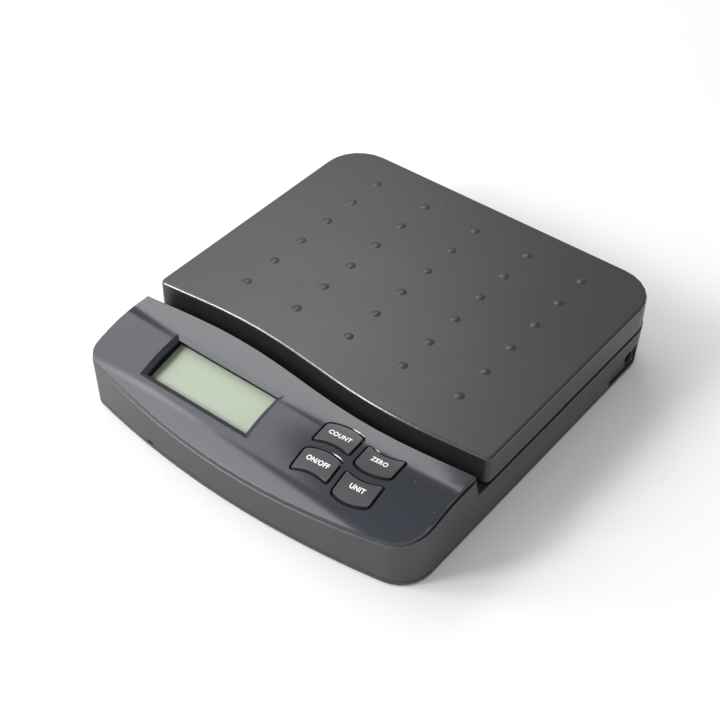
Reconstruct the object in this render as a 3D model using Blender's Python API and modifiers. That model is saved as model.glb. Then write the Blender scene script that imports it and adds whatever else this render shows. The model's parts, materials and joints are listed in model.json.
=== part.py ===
"""Compact bench scale: a wavy weighing platform over a low base with a glossy control panel.

Metres, +Z up. The origin is at the bottom centre, +Y points to the rear edge and +X to the right
of someone reading the display.
"""
import math

import bmesh
import bpy
from mathutils import Matrix, Vector

# Outline of the whole scale
DEPTH = 0.2010
FOOT_PROUD = 0.0012
CLEARANCE = 0.0003

# Weighing platform
PLATFORM_WIDTH = 0.1830
PLATFORM_SETBACK = 0.0582
PLATFORM_HEIGHT = 0.0140
PLATFORM_SKIN = 0.0024
PLATFORM_WALL = 0.0024
PLATFORM_REAR_CORNER = 0.0200
PLATFORM_FRONT_CORNER = 0.0030
PLATFORM_EDGE_ROUND = 0.0014
PLATFORM_GAP = 0.0030
PLATFORM_RIB = 0.0016
PLATFORM_RIB_DEPTH = 0.0060
WAVE_HEIGHT = 0.0030
WAVE_HALF_LENGTH = 0.0800

# Raised dots on the platform
DOT_COLUMNS = 5
DOT_ROWS = 6
DOT_PITCH_X = 0.0300
DOT_PITCH_Y = 0.0196
DOT_DIAMETER = 0.0048
DOT_HEIGHT = 0.0004
DOT_GRID_SETBACK = 0.0019

# Base housing and its bottom cover
BASE_WIDTH = 0.1822
BASE_FRONT_BOW = 0.4300
BASE_LEFT_CORNER = 0.0070
BASE_RIGHT_CORNER = 0.0165
BASE_REAR_CORNER = 0.0165
BASE_REAR_SETBACK = 0.0008
BASE_WALL = 0.0022
BASE_SHOULDER = 0.0036
BASE_DRAFT = 0.0006
DECK_THICKNESS = 0.0020
COVER_THICKNESS = 0.0020
COVER_LIP_HEIGHT = 0.0026
COVER_LIP_WALL = 0.0014
COVER_RIB = 0.0014
COVER_RIB_HEIGHT = 0.0018

# Control panel
PANEL_GAP = 0.0082
PANEL_BELOW_PLATFORM = 0.0031
PANEL_CREST_FROM_FRONT = 0.0425
PANEL_ROLL_RADIUS = 0.0700
PANEL_INSET = 0.0004
PANEL_SKIN = 0.0020
PANEL_SEAT_SKIN = 0.0010
PANEL_EDGE = 0.0024
PANEL_EDGE_ROUND = 0.0009
PANEL_TONGUE = 0.0024
PANEL_TONGUE_WALL = 0.0014
PANEL_POST_ROOT = 0.0008

# Display
DISPLAY_X = -0.0309
DISPLAY_FROM_FRONT = 0.0260
WINDOW_WIDTH = 0.0624
WINDOW_DEPTH = 0.0252
WINDOW_SIDE_BEVEL = 0.0024
WINDOW_END_BEVEL = 0.0019
WINDOW_BEVEL_DEPTH = 0.0012
GLASS_MARGIN = 0.0020
GLASS_THICKNESS = 0.0022
GLASS_LEDGE = 0.0016
FRAME_LIP = 0.0026
FRAME_LIP_REACH = 0.0018
FRAME_WALL = 0.0014
STRIP_WIDTH = 0.0012
STRIP_HEIGHT = 0.0012

# Keys
KEY_WIDTH = 0.0172
KEY_DEPTH = 0.0100
KEY_COLUMN_X = 0.0445
KEY_COLUMN_STEP = 0.0013
KEYS_FROM_FRONT = 0.0261
KEY_PITCH_X = 0.0216
KEY_PITCH_Y = 0.0147
KEY_BOW = 0.0018
KEY_SHEAR = 0.115
KEY_CORNER = 0.0009
KEY_PROUD = 0.0003
KEY_ROUND = 0.0005
KEY_HOLE_GAP = 0.0009
KEY_HOLE_CHAMFER = 0.0003
KEY_FLANGE = 0.0016
KEY_FLANGE_THICKNESS = 0.0009
KEY_TRAVEL = 0.0007
KEY_STEM_DIAMETER = 0.0030
KEY_STEM_GAP = 0.0005

# Circuit board behind the panel
BOARD_WIDTH = 0.1440
BOARD_DEPTH = 0.0310
BOARD_THICKNESS = 0.0016
BOARD_SCREW_INSET = 0.0034
SWITCH_SIZE = 0.0060
SWITCH_HEIGHT = 0.0028
SWITCH_WELL_SHARE = 0.7
CHIP_DIAMETER = 0.0130
CHIP_HEIGHT = 0.0018
CHIP_SIDE_SHARES = ((0.9, 0.5), (0.55, 0.9))

# Load cell and what it carries
CELL_LENGTH = 0.0800
CELL_WIDTH = 0.0127
CELL_HEIGHT = 0.0127
CELL_EYE_DIAMETER = 0.0090
CELL_EYE_PITCH = 0.0140
CELL_SLOT = 0.0040
CELL_HOLE_INSET = 0.0060
CELL_HOLE_PITCH = 0.0140
CELL_BOSS_HEIGHT = 0.0019
CELL_SCREW_DIAMETER = 0.0040
CELL_SCREW_GRIP = 0.0070
GAUGE_LENGTH = 0.0240
GAUGE_COAT = 0.0008
GAUGE_WIDTH = 0.0102
GAUGE_ROUND = 0.0006
STOP_DIAMETER = 0.0050
STOP_CHAMFER = 0.0007
STOP_GAP = 0.0010
CARRIER_WIDTH = 0.1140
CARRIER_DEPTH = 0.0840
CARRIER_THICKNESS = 0.0026
CARRIER_RAIL = 0.0130
CARRIER_HOLE_CORNER = 0.0052
CARRIER_GAP = 0.0016
PAD_TO_GAUGE = 0.0020
PEG_DIAMETER = 0.0060
PEG_HEIGHT = 0.0048
GROMMET_WALL = 0.0022
SOCKET_WALL = 0.0022

# Power
BATTERY_DIAMETER = 0.0145
BATTERY_LENGTH = 0.0492
BATTERY_NUB_DIAMETER = 0.0054
BATTERY_NUB = 0.0010
BATTERY_ROUND = 0.0006
BATTERY_COUNT = 4
BATTERY_PITCH = 0.0151
BATTERY_HEADROOM = 0.0016
BAY_WALL = 0.0016
BAY_TO_CELL = 0.0060
CONTACT_THICKNESS = 0.0004
CONTACT_WIDTH = 0.0090
CONTACT_DOME = 0.0054
CONTACT_CROWN = 0.0027
CONTACT_CROWN_SHARE = 0.8
CONTACT_SPACE = 0.0016
DOOR_TAB_WIDTH = 0.0046
DOOR_TAB_REACH = 0.0024
DOOR_TAB_THICKNESS = 0.0014
DOOR_GRIP_WIDTH = 0.0160
DOOR_GRIP_LENGTH = 0.0053
DOOR_GRIP_CORNER = 0.0020
DOOR_GRIP_DEPTH = 0.0008
JACK_FROM_REAR = 0.0202
JACK_BORE = 0.0060
JACK_PIN = 0.0020
JACK_NOSE_WALL = 0.0010
JACK_DEPTH = 0.0130
JACK_BORE_SHARE = 0.75
JACK_PIN_SHARE = 0.9
JACK_RECESS_WIDTH = 0.0238
JACK_RECESS_HEIGHT = 0.0110
JACK_RECESS_DEPTH = 0.0008

# Feet and fasteners
FOOT_DIAMETER = 0.0140
FOOT_POCKET = 0.0009
FOOT_CHAMFER = 0.0005
FOOT_SIDE_INSET = 0.0191
FOOT_FRONT_INSET = 0.0265
FOOT_REAR_INSET = 0.0205
POST_DIAMETER = 0.0070
CASE_SCREW_DIAMETER = 0.0026
CASE_SCREW_GRIP = 0.0070
CASE_SCREW_SINK = 0.0014
BOARD_SCREW_DIAMETER = 0.0020
BOARD_SCREW_GRIP = 0.0040
POST_REAR_X = 0.0500
POST_REAR_INSET = 0.0155
POST_SIDE_INSET = 0.0131
POST_SIDE_SETBACK = 0.0343
POST_FRONT_X = 0.0450
POST_FRONT_HEIGHT = 0.0110
POST_WALL_SHARE = 0.35
SCREW_HEAD_RATIO = 1.8
SCREW_HEAD_RISE = 0.4
SCREW_HEAD_TAPER = 0.8
NOTCH_X = -0.0487
NOTCH_WIDTH = 0.0034
NOTCH_HEIGHT = 0.0012

# Heights and lines that follow from those sizes
REAR_Y = DEPTH / 2
FRONT_Y = -DEPTH / 2
COVER_LOW = FOOT_PROUD
COVER_TOP = COVER_LOW + COVER_THICKNESS
CELL_LOW = COVER_TOP + CELL_BOSS_HEIGHT + CLEARANCE
CELL_TOP = CELL_LOW + CELL_HEIGHT
BATTERY_LOW = COVER_TOP + CLEARANCE
DECK_LOW = max(BATTERY_LOW + BATTERY_DIAMETER, CELL_TOP + GAUGE_COAT) + BATTERY_HEADROOM
DECK_TOP = DECK_LOW + DECK_THICKNESS
PLATFORM_LOW = DECK_TOP + PLATFORM_GAP
PLATFORM_TOP = PLATFORM_LOW + PLATFORM_HEIGHT
PLATFORM_INNER = PLATFORM_TOP - PLATFORM_SKIN
PLATFORM_FRONT_Y = FRONT_Y + PLATFORM_SETBACK
PLATFORM_CENTRE_Y = (REAR_Y + PLATFORM_FRONT_Y) / 2
PANEL_CREST_Z = PLATFORM_TOP - PANEL_BELOW_PLATFORM
PANEL_CREST_Y = FRONT_Y + PANEL_CREST_FROM_FRONT
DISPLAY_Y = FRONT_Y + DISPLAY_FROM_FRONT
KEY_ROW_Y = FRONT_Y + KEYS_FROM_FRONT
JACK_Y = REAR_Y - JACK_FROM_REAR
FOOT_X = BASE_WIDTH / 2 - FOOT_SIDE_INSET
FOOT_FRONT_Y = FRONT_Y + FOOT_FRONT_INSET
FOOT_REAR_Y = REAR_Y - FOOT_REAR_INSET
POST_SIDE_X = BASE_WIDTH / 2 - POST_SIDE_INSET
POST_SIDE_Y = PLATFORM_FRONT_Y + POST_SIDE_SETBACK
POST_REAR_Y = REAR_Y - POST_REAR_INSET
BASE_REAR_Y = REAR_Y - BASE_REAR_SETBACK
CARRIER_LOW = DECK_TOP + CARRIER_GAP
CARRIER_TOP = CARRIER_LOW + CARRIER_THICKNESS
FREE_END_X = CELL_LENGTH / 2 - CELL_HOLE_INSET - CELL_HOLE_PITCH / 2
PAD_INNER_X = GAUGE_LENGTH / 2 + PAD_TO_GAUGE
PAD_OUTER_X = CELL_LENGTH / 2
BAY_REAR_Y = PLATFORM_CENTRE_Y - CELL_WIDTH / 2 - BAY_TO_CELL
BAY_DEPTH = BATTERY_LENGTH + BATTERY_NUB + 2 * CONTACT_SPACE
BAY_FRONT_Y = BAY_REAR_Y - BAY_DEPTH
BAY_WIDTH = BATTERY_COUNT * BATTERY_PITCH + CLEARANCE
BAY_CENTRE_Y = BAY_REAR_Y - BAY_DEPTH / 2
FRONT_BOW_CENTRE_Y = FRONT_Y + BASE_FRONT_BOW

FRONT_STEPS = 14
CORNER_STEPS = 6
WAVE_STEPS = 16
PANEL_ROWS = 10
WINDOW_ROWS = 8
ROUND_STEPS = 14
SCREW_STEPS = 10
SMALL_STEPS = 12
DOT_STEPS = 12
DOT_RINGS = 4
KEY_STEPS = 6
KEY_CORNER_STEPS = 3
KEY_ROWS = 4
PLATFORM_EDGE_STEPS = 4
PANEL_EDGE_STEPS = 4
CREASE_ANGLE = math.radians(32)

for stale in list(bpy.data.objects):
    bpy.data.objects.remove(stale, do_unlink=True)

PARTS = bpy.data.collections.new("compact_scale")
CUTTERS = bpy.data.collections.new("cutters")
bpy.context.scene.collection.children.link(PARTS)
bpy.context.scene.collection.children.link(CUTTERS)


def finish(name, colour, roughness, metallic=0.0):
    """A Principled material with one colour."""
    material = bpy.data.materials.new(name)
    material.use_nodes = True
    shader = material.node_tree.nodes["Principled BSDF"]
    shader.inputs["Base Color"].default_value = (*colour, 1.0)
    shader.inputs["Roughness"].default_value = roughness
    shader.inputs["Metallic"].default_value = metallic
    return material


def place(name, mesh):
    """An object in the cutters collection, where every raw shape starts."""
    shape = bpy.data.objects.new(name, mesh)
    shape.hide_render = True
    shape.display_type = "WIRE"
    CUTTERS.objects.link(shape)
    return shape


def from_bmesh(name, work):
    mesh = bpy.data.meshes.new(name)
    bmesh.ops.recalc_face_normals(work, faces=work.faces)
    work.to_mesh(mesh)
    work.free()
    return place(name, mesh)


def prism(name, loops, low, high):
    """Outline and holes drawn as flat splines, filled and extruded between two heights."""
    curve = bpy.data.curves.new(name, "CURVE")
    curve.dimensions = "2D"
    curve.fill_mode = "BOTH"
    curve.extrude = (high - low) / 2
    for loop in loops:
        spline = curve.splines.new("POLY")
        spline.points.add(len(loop) - 1)
        spline.use_cyclic_u = True
        for point, (x, y) in zip(spline.points, loop):
            point.co = (x, y, 0.0, 1.0)
    drawn = bpy.data.objects.new(name + "_outline", curve)
    CUTTERS.objects.link(drawn)
    drawn.location.z = (high + low) / 2
    bpy.context.view_layer.update()
    seen = drawn.evaluated_get(bpy.context.evaluated_depsgraph_get())
    mesh = bpy.data.meshes.new_from_object(seen)
    mesh.transform(drawn.matrix_world)
    bpy.data.objects.remove(drawn, do_unlink=True)
    work = bmesh.new()
    work.from_mesh(mesh)
    bmesh.ops.remove_doubles(work, verts=work.verts, dist=1e-6)
    flat = [edge for edge in work.edges if abs(edge.verts[0].co.z - edge.verts[1].co.z) < 1e-7]
    bmesh.ops.dissolve_limit(work, angle_limit=1e-4, verts=[], edges=flat)
    bpy.data.meshes.remove(mesh)
    return from_bmesh(name, work)


def block(name, low, high):
    """A box between two corners."""
    work = bmesh.new()
    bmesh.ops.create_cube(work, size=1.0)
    span = Vector(high) - Vector(low)
    bmesh.ops.scale(work, vec=span, verts=work.verts)
    bmesh.ops.translate(work, vec=(Vector(high) + Vector(low)) / 2, verts=work.verts)
    return from_bmesh(name, work)


def blocks(name, boxes):
    """Separate boxes in one shape."""
    work = bmesh.new()
    for low, high in boxes:
        span = Vector(high) - Vector(low)
        middle = (Vector(high) + Vector(low)) / 2
        frame = Matrix.Translation(middle) @ Matrix.Diagonal((*span, 1.0))
        bmesh.ops.create_cube(work, size=1.0, matrix=frame)
    return from_bmesh(name, work)


def rods(name, centres, diameter, low, high, steps=ROUND_STEPS):
    """Upright round bars of one size in one shape."""
    work = bmesh.new()
    for x, y in centres:
        frame = Matrix.Translation((x, y, (low + high) / 2))
        bmesh.ops.create_cone(work, cap_ends=True, segments=steps, radius1=diameter / 2,
                              radius2=diameter / 2, depth=high - low, matrix=frame)
    return from_bmesh(name, work)


def domes(name, centres, diameter, height, base, sink):
    """Shallow round caps in one shape that rise from a level and sink into what they sit on."""
    radius = (diameter ** 2 / 4 + height ** 2) / (2 * height)
    reach = math.acos(1 - (height + sink) / radius)
    tilts = [reach * (1 - step / DOT_RINGS) for step in range(DOT_RINGS)]
    profile = [(radius * math.sin(tilt), base + height - radius * (1 - math.cos(tilt))) for tilt in tilts]
    work = bmesh.new()
    for centre in centres:
        rings = [[work.verts.new((*spot, z)) for spot in ring(centre, 2 * span, DOT_STEPS)]
                 for span, z in profile]
        crown = work.verts.new((*centre, base + height))
        work.faces.new(reversed(rings[0]))
        for step in range(DOT_STEPS):
            after = (step + 1) % DOT_STEPS
            for lower, upper in zip(rings, rings[1:]):
                work.faces.new((lower[step], lower[after], upper[after], upper[step]))
            work.faces.new((rings[-1][step], rings[-1][after], crown))
    return from_bmesh(name, work)


def turned(name, profile, steps=ROUND_STEPS):
    """A profile of (radius, height) points, top to bottom, turned about Z."""
    mesh = bpy.data.meshes.new(name)
    points = [(radius, 0.0, height) for radius, height in profile]
    mesh.from_pydata(points, [(i, i + 1) for i in range(len(points) - 1)], [])
    shape = place(name, mesh)
    spin = shape.modifiers.new("turn", "SCREW")
    spin.steps = steps
    spin.render_steps = steps
    spin.use_merge_vertices = True
    spin.merge_threshold = 1e-6
    return shape


def boolean(target, tool, operation):
    change = target.modifiers.new(tool.name, "BOOLEAN")
    change.operation = operation
    change.solver = "EXACT"
    change.object = tool


def join(target, *tools):
    for tool in tools:
        boolean(target, tool, "UNION")


def cut(target, *tools):
    for tool in tools:
        boolean(target, tool, "DIFFERENCE")


def round_edges(shape, radius, segments, chosen):
    """Rounds the edges that the test picks."""
    work = bmesh.new()
    work.from_mesh(shape.data)
    edges = [edge for edge in work.edges if chosen(edge)]
    bmesh.ops.bevel(work, geom=edges, offset=radius, offset_type="OFFSET", segments=segments,
                    profile=0.5, affect="EDGES", clamp_overlap=True)
    work.to_mesh(shape.data)
    work.free()


def keep(shape, material, parent=None):
    """Makes a shape a sub-part of the scale."""
    CUTTERS.objects.unlink(shape)
    PARTS.objects.link(shape)
    shape.hide_render = False
    shape.display_type = "TEXTURED"
    shape.data.materials.clear()
    shape.data.materials.append(material)
    if shape.type == "MESH":
        shape.data.shade_smooth()
        shape.data.set_sharp_from_angle(angle=CREASE_ANGLE)
    if parent is not None:
        shape.parent = parent
        shape.matrix_parent_inverse = parent.matrix_world.inverted()
    return shape


def on_frame(shape, frame):
    """Hangs a shape that was drawn in a frame's own coordinates on that frame."""
    shape.parent = frame
    return shape


def axis_empty(name, place_at, turn=0.0):
    """An empty on a joint or at the middle of a tilted group."""
    empty = bpy.data.objects.new(name, None)
    empty.empty_display_size = 0.01
    empty.location = place_at
    empty.rotation_euler.x = turn
    PARTS.objects.link(empty)
    bpy.context.view_layer.update()
    return empty


def arc(centre, radius, start, end, steps):
    """Points of an arc between two angles in radians, both ends included."""
    angles = [start + (end - start) * step / steps for step in range(steps + 1)]
    return [(centre[0] + radius * math.cos(a), centre[1] + radius * math.sin(a)) for a in angles]


def ring(centre, diameter, steps=ROUND_STEPS):
    return arc(centre, diameter / 2, 0.0, 2 * math.pi, steps)[:-1]


def rounded_box(centre, width, depth, radius, steps=4):
    """A rectangle with round corners, counter-clockwise."""
    loop = []
    for index, (sx, sy) in enumerate(((1, -1), (1, 1), (-1, 1), (-1, -1))):
        corner = (centre[0] + sx * (width / 2 - radius), centre[1] + sy * (depth / 2 - radius))
        start = math.radians(-90 + 90 * index)
        loop += arc(corner, radius, start, start + math.pi / 2, steps)
    return loop


def rectangle(centre, width, depth):
    x, y = centre
    return [(x - width / 2, y - depth / 2), (x + width / 2, y - depth / 2),
            (x + width / 2, y + depth / 2), (x - width / 2, y + depth / 2)]


def wave(x):
    """The plan wave shared by the platform's front and the panel's rear edge."""
    return -WAVE_HEIGHT * math.sin(math.pi * x / WAVE_HALF_LENGTH)


def platform_front(x):
    return PLATFORM_FRONT_Y + wave(x)


def panel_rear(x):
    return PLATFORM_FRONT_Y - PANEL_GAP + wave(x)


def front_bow(x):
    return FRONT_BOW_CENTRE_Y - math.sqrt(BASE_FRONT_BOW ** 2 - x ** 2)


def panel_height(y):
    """Height of the panel's top: level behind its crest, then an arc that falls to the front."""
    past = max(PANEL_CREST_Y - y, 0.0)
    return PANEL_CREST_Z - PANEL_ROLL_RADIUS + math.sqrt(PANEL_ROLL_RADIUS ** 2 - past ** 2)


def front_corner(radius):
    """Centre of a front corner that meets the bow smoothly, and the bow's angle there."""
    x = BASE_WIDTH / 2 - radius
    angle = math.asin(x / (BASE_FRONT_BOW - radius))
    return x, FRONT_BOW_CENTRE_Y - (BASE_FRONT_BOW - radius) * math.cos(angle), angle


def front_line(inset):
    """The base's front from its left side to its right side, moved inwards."""
    left_x, left_y, left_angle = front_corner(BASE_LEFT_CORNER)
    right_x, right_y, right_angle = front_corner(BASE_RIGHT_CORNER)
    turn = math.pi * 1.5
    left = arc((-left_x, left_y), BASE_LEFT_CORNER - inset, math.pi, turn - left_angle, CORNER_STEPS)
    bow = arc((0.0, FRONT_BOW_CENTRE_Y), BASE_FRONT_BOW - inset, turn - left_angle,
              turn + right_angle, FRONT_STEPS)
    right = arc((right_x, right_y), BASE_RIGHT_CORNER - inset, turn + right_angle, 2 * math.pi,
                CORNER_STEPS)
    return left + bow[1:-1] + right


def base_outline(inset):
    """The base's outline at its top, moved inwards."""
    rear = BASE_REAR_CORNER - inset
    corner_x = BASE_WIDTH / 2 - BASE_REAR_CORNER
    corner_y = BASE_REAR_Y - BASE_REAR_CORNER
    right = arc((corner_x, corner_y), rear, 0.0, math.pi / 2, CORNER_STEPS)
    left = arc((-corner_x, corner_y), rear, math.pi / 2, math.pi, CORNER_STEPS)
    return front_line(inset) + right + left


def base_side(y, inset):
    """Half width of the base at a line across it, moved inwards."""
    rise = max(y - (BASE_REAR_Y - BASE_REAR_CORNER), 0.0)
    return BASE_WIDTH / 2 - BASE_REAR_CORNER + math.sqrt((BASE_REAR_CORNER - inset) ** 2 - rise ** 2)


def platform_outline(inset):
    """The platform's outline, moved inwards: a waved front and round rear corners."""
    half = PLATFORM_WIDTH / 2 - inset
    front_corner = max(PLATFORM_FRONT_CORNER - inset, CLEARANCE)
    span = half - front_corner
    steps = [-span + 2 * span * step / WAVE_STEPS for step in range(WAVE_STEPS + 1)]
    front = [(x, platform_front(x) + inset) for x in steps]
    left_y = platform_front(-span) + inset + front_corner
    right_y = platform_front(span) + inset + front_corner
    left = arc((-span, left_y), front_corner, math.pi, math.pi * 1.5, 3)
    right = arc((span, right_y), front_corner, math.pi * 1.5, math.pi * 2, 3)
    rear_corner = PLATFORM_REAR_CORNER - inset
    rear_x = PLATFORM_WIDTH / 2 - PLATFORM_REAR_CORNER
    rear_y = REAR_Y - PLATFORM_REAR_CORNER
    rear = arc((rear_x, rear_y), rear_corner, 0.0, math.pi / 2, CORNER_STEPS)
    rear += arc((-rear_x, rear_y), rear_corner, math.pi / 2, math.pi, CORNER_STEPS)
    return left[:-1] + front + right[1:] + rear


def drafted(shape):
    """Leans a base shape's walls inwards towards the bottom."""
    middle_y = (BASE_REAR_Y + FRONT_Y) / 2
    half = Vector((BASE_WIDTH / 2, (BASE_REAR_Y - FRONT_Y) / 2))
    lean = BASE_DRAFT / (PLATFORM_LOW - COVER_LOW)
    for vertex in shape.data.vertices:
        pull = lean * (PLATFORM_LOW - vertex.co.z)
        vertex.co.x *= 1 - pull / half.x
        vertex.co.y = middle_y + (vertex.co.y - middle_y) * (1 - pull / half.y)
    return shape


def base_prism(name, inset, low, high):
    return drafted(prism(name, [base_outline(inset)], low, high))


def wave_block(name, columns, rows, low, high, foot=None):
    """A block that follows the panel's surface: its columns run from a front to a rear point."""
    work = bmesh.new()
    bmesh.ops.create_grid(work, x_segments=len(columns) - 1, y_segments=rows, size=0.5)
    risen = bmesh.ops.extrude_face_region(work, geom=list(work.faces))
    lower = [item for item in risen["geom"] if isinstance(item, bmesh.types.BMVert)]
    bmesh.ops.translate(work, vec=(0.0, 0.0, -1.0), verts=lower)
    for vertex in work.verts:
        is_low = vertex.co.z < -0.5
        column = round((vertex.co.x + 0.5) * (len(columns) - 1))
        front, rear = (foot or columns)[column] if is_low else columns[column]
        x, y = Vector(front).lerp(Vector(rear), vertex.co.y + 0.5)
        vertex.co = (x, y, panel_height(y) + (low if is_low else high))
    return from_bmesh(name, work)


def panel_columns(inset):
    """Front and rear points of the panel's columns, moved inwards on every side."""
    return [((x, y), (x, panel_rear(x) - inset)) for x, y in front_line(PANEL_INSET + inset)]


def key_middle(column, row):
    x = KEY_COLUMN_X + (column - 0.5) * KEY_PITCH_X
    y = KEY_ROW_Y + (row - 0.5) * KEY_PITCH_Y - (column - 0.5) * KEY_COLUMN_STEP
    return x, y


def key_columns(column, row, grow):
    """Front and rear points of one key: a leaning, bowed outline with round corners, moved outwards."""
    middle_x, middle_y = key_middle(column, row)
    bow = KEY_BOW * (1 - 2 * column)
    corner = KEY_CORNER + grow
    half = KEY_WIDTH / 2 + grow
    straight = half - corner
    right = [straight + corner * math.sin(math.pi / 2 * step / KEY_CORNER_STEPS)
             for step in range(1, KEY_CORNER_STEPS + 1)]
    across = [straight * (2 * step / KEY_STEPS - 1) for step in range(KEY_STEPS + 1)]
    found = []
    for offset in [-reach for reach in reversed(right)] + across + right:
        past = max(abs(offset) - straight, 0.0)
        depth = KEY_DEPTH / 2 + grow - corner + math.sqrt(max(corner ** 2 - past ** 2, 0.0))
        x = middle_x + offset
        y = middle_y + KEY_SHEAR * offset + bow * (0.5 - (offset / half) ** 2)
        found.append(((x, y - depth), (x, y + depth)))
    return found


def screw(name, diameter, length):
    """A pan-head screw pointing up, with its head's underside at the origin."""
    head = diameter / 2 * SCREW_HEAD_RATIO
    rise = diameter * SCREW_HEAD_RISE
    shank = diameter / 2
    profile = [(0.0, length), (shank, length), (shank, 0.0), (head, 0.0),
               (head * SCREW_HEAD_TAPER, -rise), (0.0, -rise)]
    return turned(name, profile, SCREW_STEPS)


SATIN_BLACK = finish("satin_black_plastic", (0.035, 0.036, 0.038), 0.42)
GLOSS_BLACK = finish("gloss_black_plastic", (0.020, 0.021, 0.024), 0.12)
KEY_BLACK = finish("key_plastic", (0.030, 0.031, 0.034), 0.25)
RUBBER = finish("foot_rubber", (0.030, 0.030, 0.030), 0.80)
ALUMINIUM = finish("cell_aluminium", (0.72, 0.73, 0.74), 0.35, 1.0)
STEEL = finish("screw_steel", (0.60, 0.60, 0.62), 0.35, 1.0)
SEALANT = finish("gauge_sealant", (0.85, 0.85, 0.82), 0.55)
LCD_GREEN = finish("display_glass", (0.53, 0.61, 0.49), 0.22)
FRAME_BLACK = finish("display_frame_plastic", (0.020, 0.020, 0.022), 0.45)
STRIP_GREY = finish("contact_strip_rubber", (0.20, 0.20, 0.22), 0.65)
BOARD_GREEN = finish("board_laminate", (0.05, 0.22, 0.10), 0.40)
RESIN = finish("chip_resin", (0.015, 0.015, 0.016), 0.30)
SWITCH_GREY = finish("switch_plastic", (0.10, 0.10, 0.11), 0.45)
NICKEL = finish("contact_nickel", (0.70, 0.68, 0.62), 0.28, 1.0)
BATTERY_JACKET = finish("battery_jacket", (0.10, 0.16, 0.35), 0.30)

# Frames: the panel group lies parallel to the display, keys press along its normal.
display_rise = panel_height(DISPLAY_Y + WINDOW_DEPTH / 2)
display_fall = panel_height(DISPLAY_Y - WINDOW_DEPTH / 2)
PANEL_TILT = math.atan2(display_rise - display_fall, WINDOW_DEPTH)
board_frame = axis_empty("panel_group", (0.0, DISPLAY_Y, panel_height(DISPLAY_Y)), PANEL_TILT)
GLASS_WIDTH = WINDOW_WIDTH - 2 * WINDOW_SIDE_BEVEL + 2 * GLASS_MARGIN
GLASS_DEPTH = WINDOW_DEPTH - 2 * WINDOW_END_BEVEL + 2 * GLASS_MARGIN
FRAME_WIDTH = GLASS_WIDTH + 2 * (CLEARANCE + FRAME_WALL)
FRAME_DEPTH = GLASS_DEPTH + 2 * (CLEARANCE + FRAME_WALL)


def panel_over(x, y):
    """Height of the panel's top over a point of the board's frame, along the frame's normal."""
    height = 0.0
    for _ in range(8):
        spot = board_frame.matrix_world @ Vector((x, y, height))
        height += (panel_height(spot.y) - spot.z) * math.cos(PANEL_TILT)
    return height


PANEL_SAG = min(panel_over(x, y) for x, y in rectangle((DISPLAY_X, 0.0), FRAME_WIDTH, FRAME_DEPTH))
FRAME_TOP = PANEL_SAG - PANEL_SEAT_SKIN - CLEARANCE
GLASS_TOP = FRAME_TOP - FRAME_LIP - CLEARANCE
GLASS_LOW = GLASS_TOP - GLASS_THICKNESS
BOARD_TOP = GLASS_LOW - STRIP_HEIGHT - 2 * CLEARANCE
BOARD_LOW = BOARD_TOP - BOARD_THICKNESS

# Weighing platform: a pan with a waved front, ribs and four sockets below, and raised dots on top.
SOCKET_BORE = PEG_DIAMETER + 2 * (GROMMET_WALL + 2 * CLEARANCE)
PEG_X = (CARRIER_WIDTH - CARRIER_RAIL) / 2
PEG_Y = (CARRIER_DEPTH - CARRIER_RAIL) / 2
peg_places = [(sx * PEG_X, PLATFORM_CENTRE_Y + sy * PEG_Y) for sx in (-1, 1) for sy in (-1, 1)]
SOCKET_SEAT = CARRIER_TOP + CLEARANCE + PEG_HEIGHT + 2 * CLEARANCE
platform = prism("weighing_platform", [platform_outline(0.0)], PLATFORM_LOW, PLATFORM_TOP)
round_edges(platform, PLATFORM_EDGE_ROUND, PLATFORM_EDGE_STEPS,
            lambda edge: all(vertex.co.z > PLATFORM_TOP - 1e-6 for vertex in edge.verts))
cut(platform, prism("platform_hollow", [platform_outline(PLATFORM_WALL)],
                    PLATFORM_LOW - PLATFORM_HEIGHT, PLATFORM_INNER))
RIB_LOW = PLATFORM_INNER - PLATFORM_RIB_DEPTH
rib_half = PLATFORM_WIDTH / 2 - PLATFORM_WALL / 2
rib_front = PLATFORM_FRONT_Y + WAVE_HEIGHT + PLATFORM_WALL
rib_rear = REAR_Y - PLATFORM_WALL / 2
rib_root = PLATFORM_INNER + PLATFORM_SKIN / 2
join(platform, blocks("platform_cross_ribs", [
    ((-rib_half, y - PLATFORM_RIB / 2, RIB_LOW), (rib_half, y + PLATFORM_RIB / 2, rib_root))
    for y in (PLATFORM_CENTRE_Y - PEG_Y, PLATFORM_CENTRE_Y, PLATFORM_CENTRE_Y + PEG_Y)]))
join(platform, blocks("platform_long_ribs", [
    ((x - PLATFORM_RIB / 2, rib_front, RIB_LOW), (x + PLATFORM_RIB / 2, rib_rear, rib_root))
    for x in (-PEG_X, 0.0, PEG_X)]))
join(platform, rods("platform_sockets", peg_places, SOCKET_BORE + 2 * SOCKET_WALL,
                    CARRIER_TOP + 4 * CLEARANCE, rib_root))
cut(platform, rods("socket_bores", peg_places, SOCKET_BORE, CARRIER_LOW, SOCKET_SEAT))
dot_places = [((column - (DOT_COLUMNS - 1) / 2) * DOT_PITCH_X,
               PLATFORM_CENTRE_Y + DOT_GRID_SETBACK + (row - (DOT_ROWS - 1) / 2) * DOT_PITCH_Y)
              for column in range(DOT_COLUMNS) for row in range(DOT_ROWS)]
join(platform, domes("platform_dots", dot_places, DOT_DIAMETER, DOT_HEIGHT, PLATFORM_TOP, CLEARANCE))
platform_axis = axis_empty("platform_axis", (0.0, PLATFORM_CENTRE_Y, DECK_TOP))
keep(platform, SATIN_BLACK, platform_axis)

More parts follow.
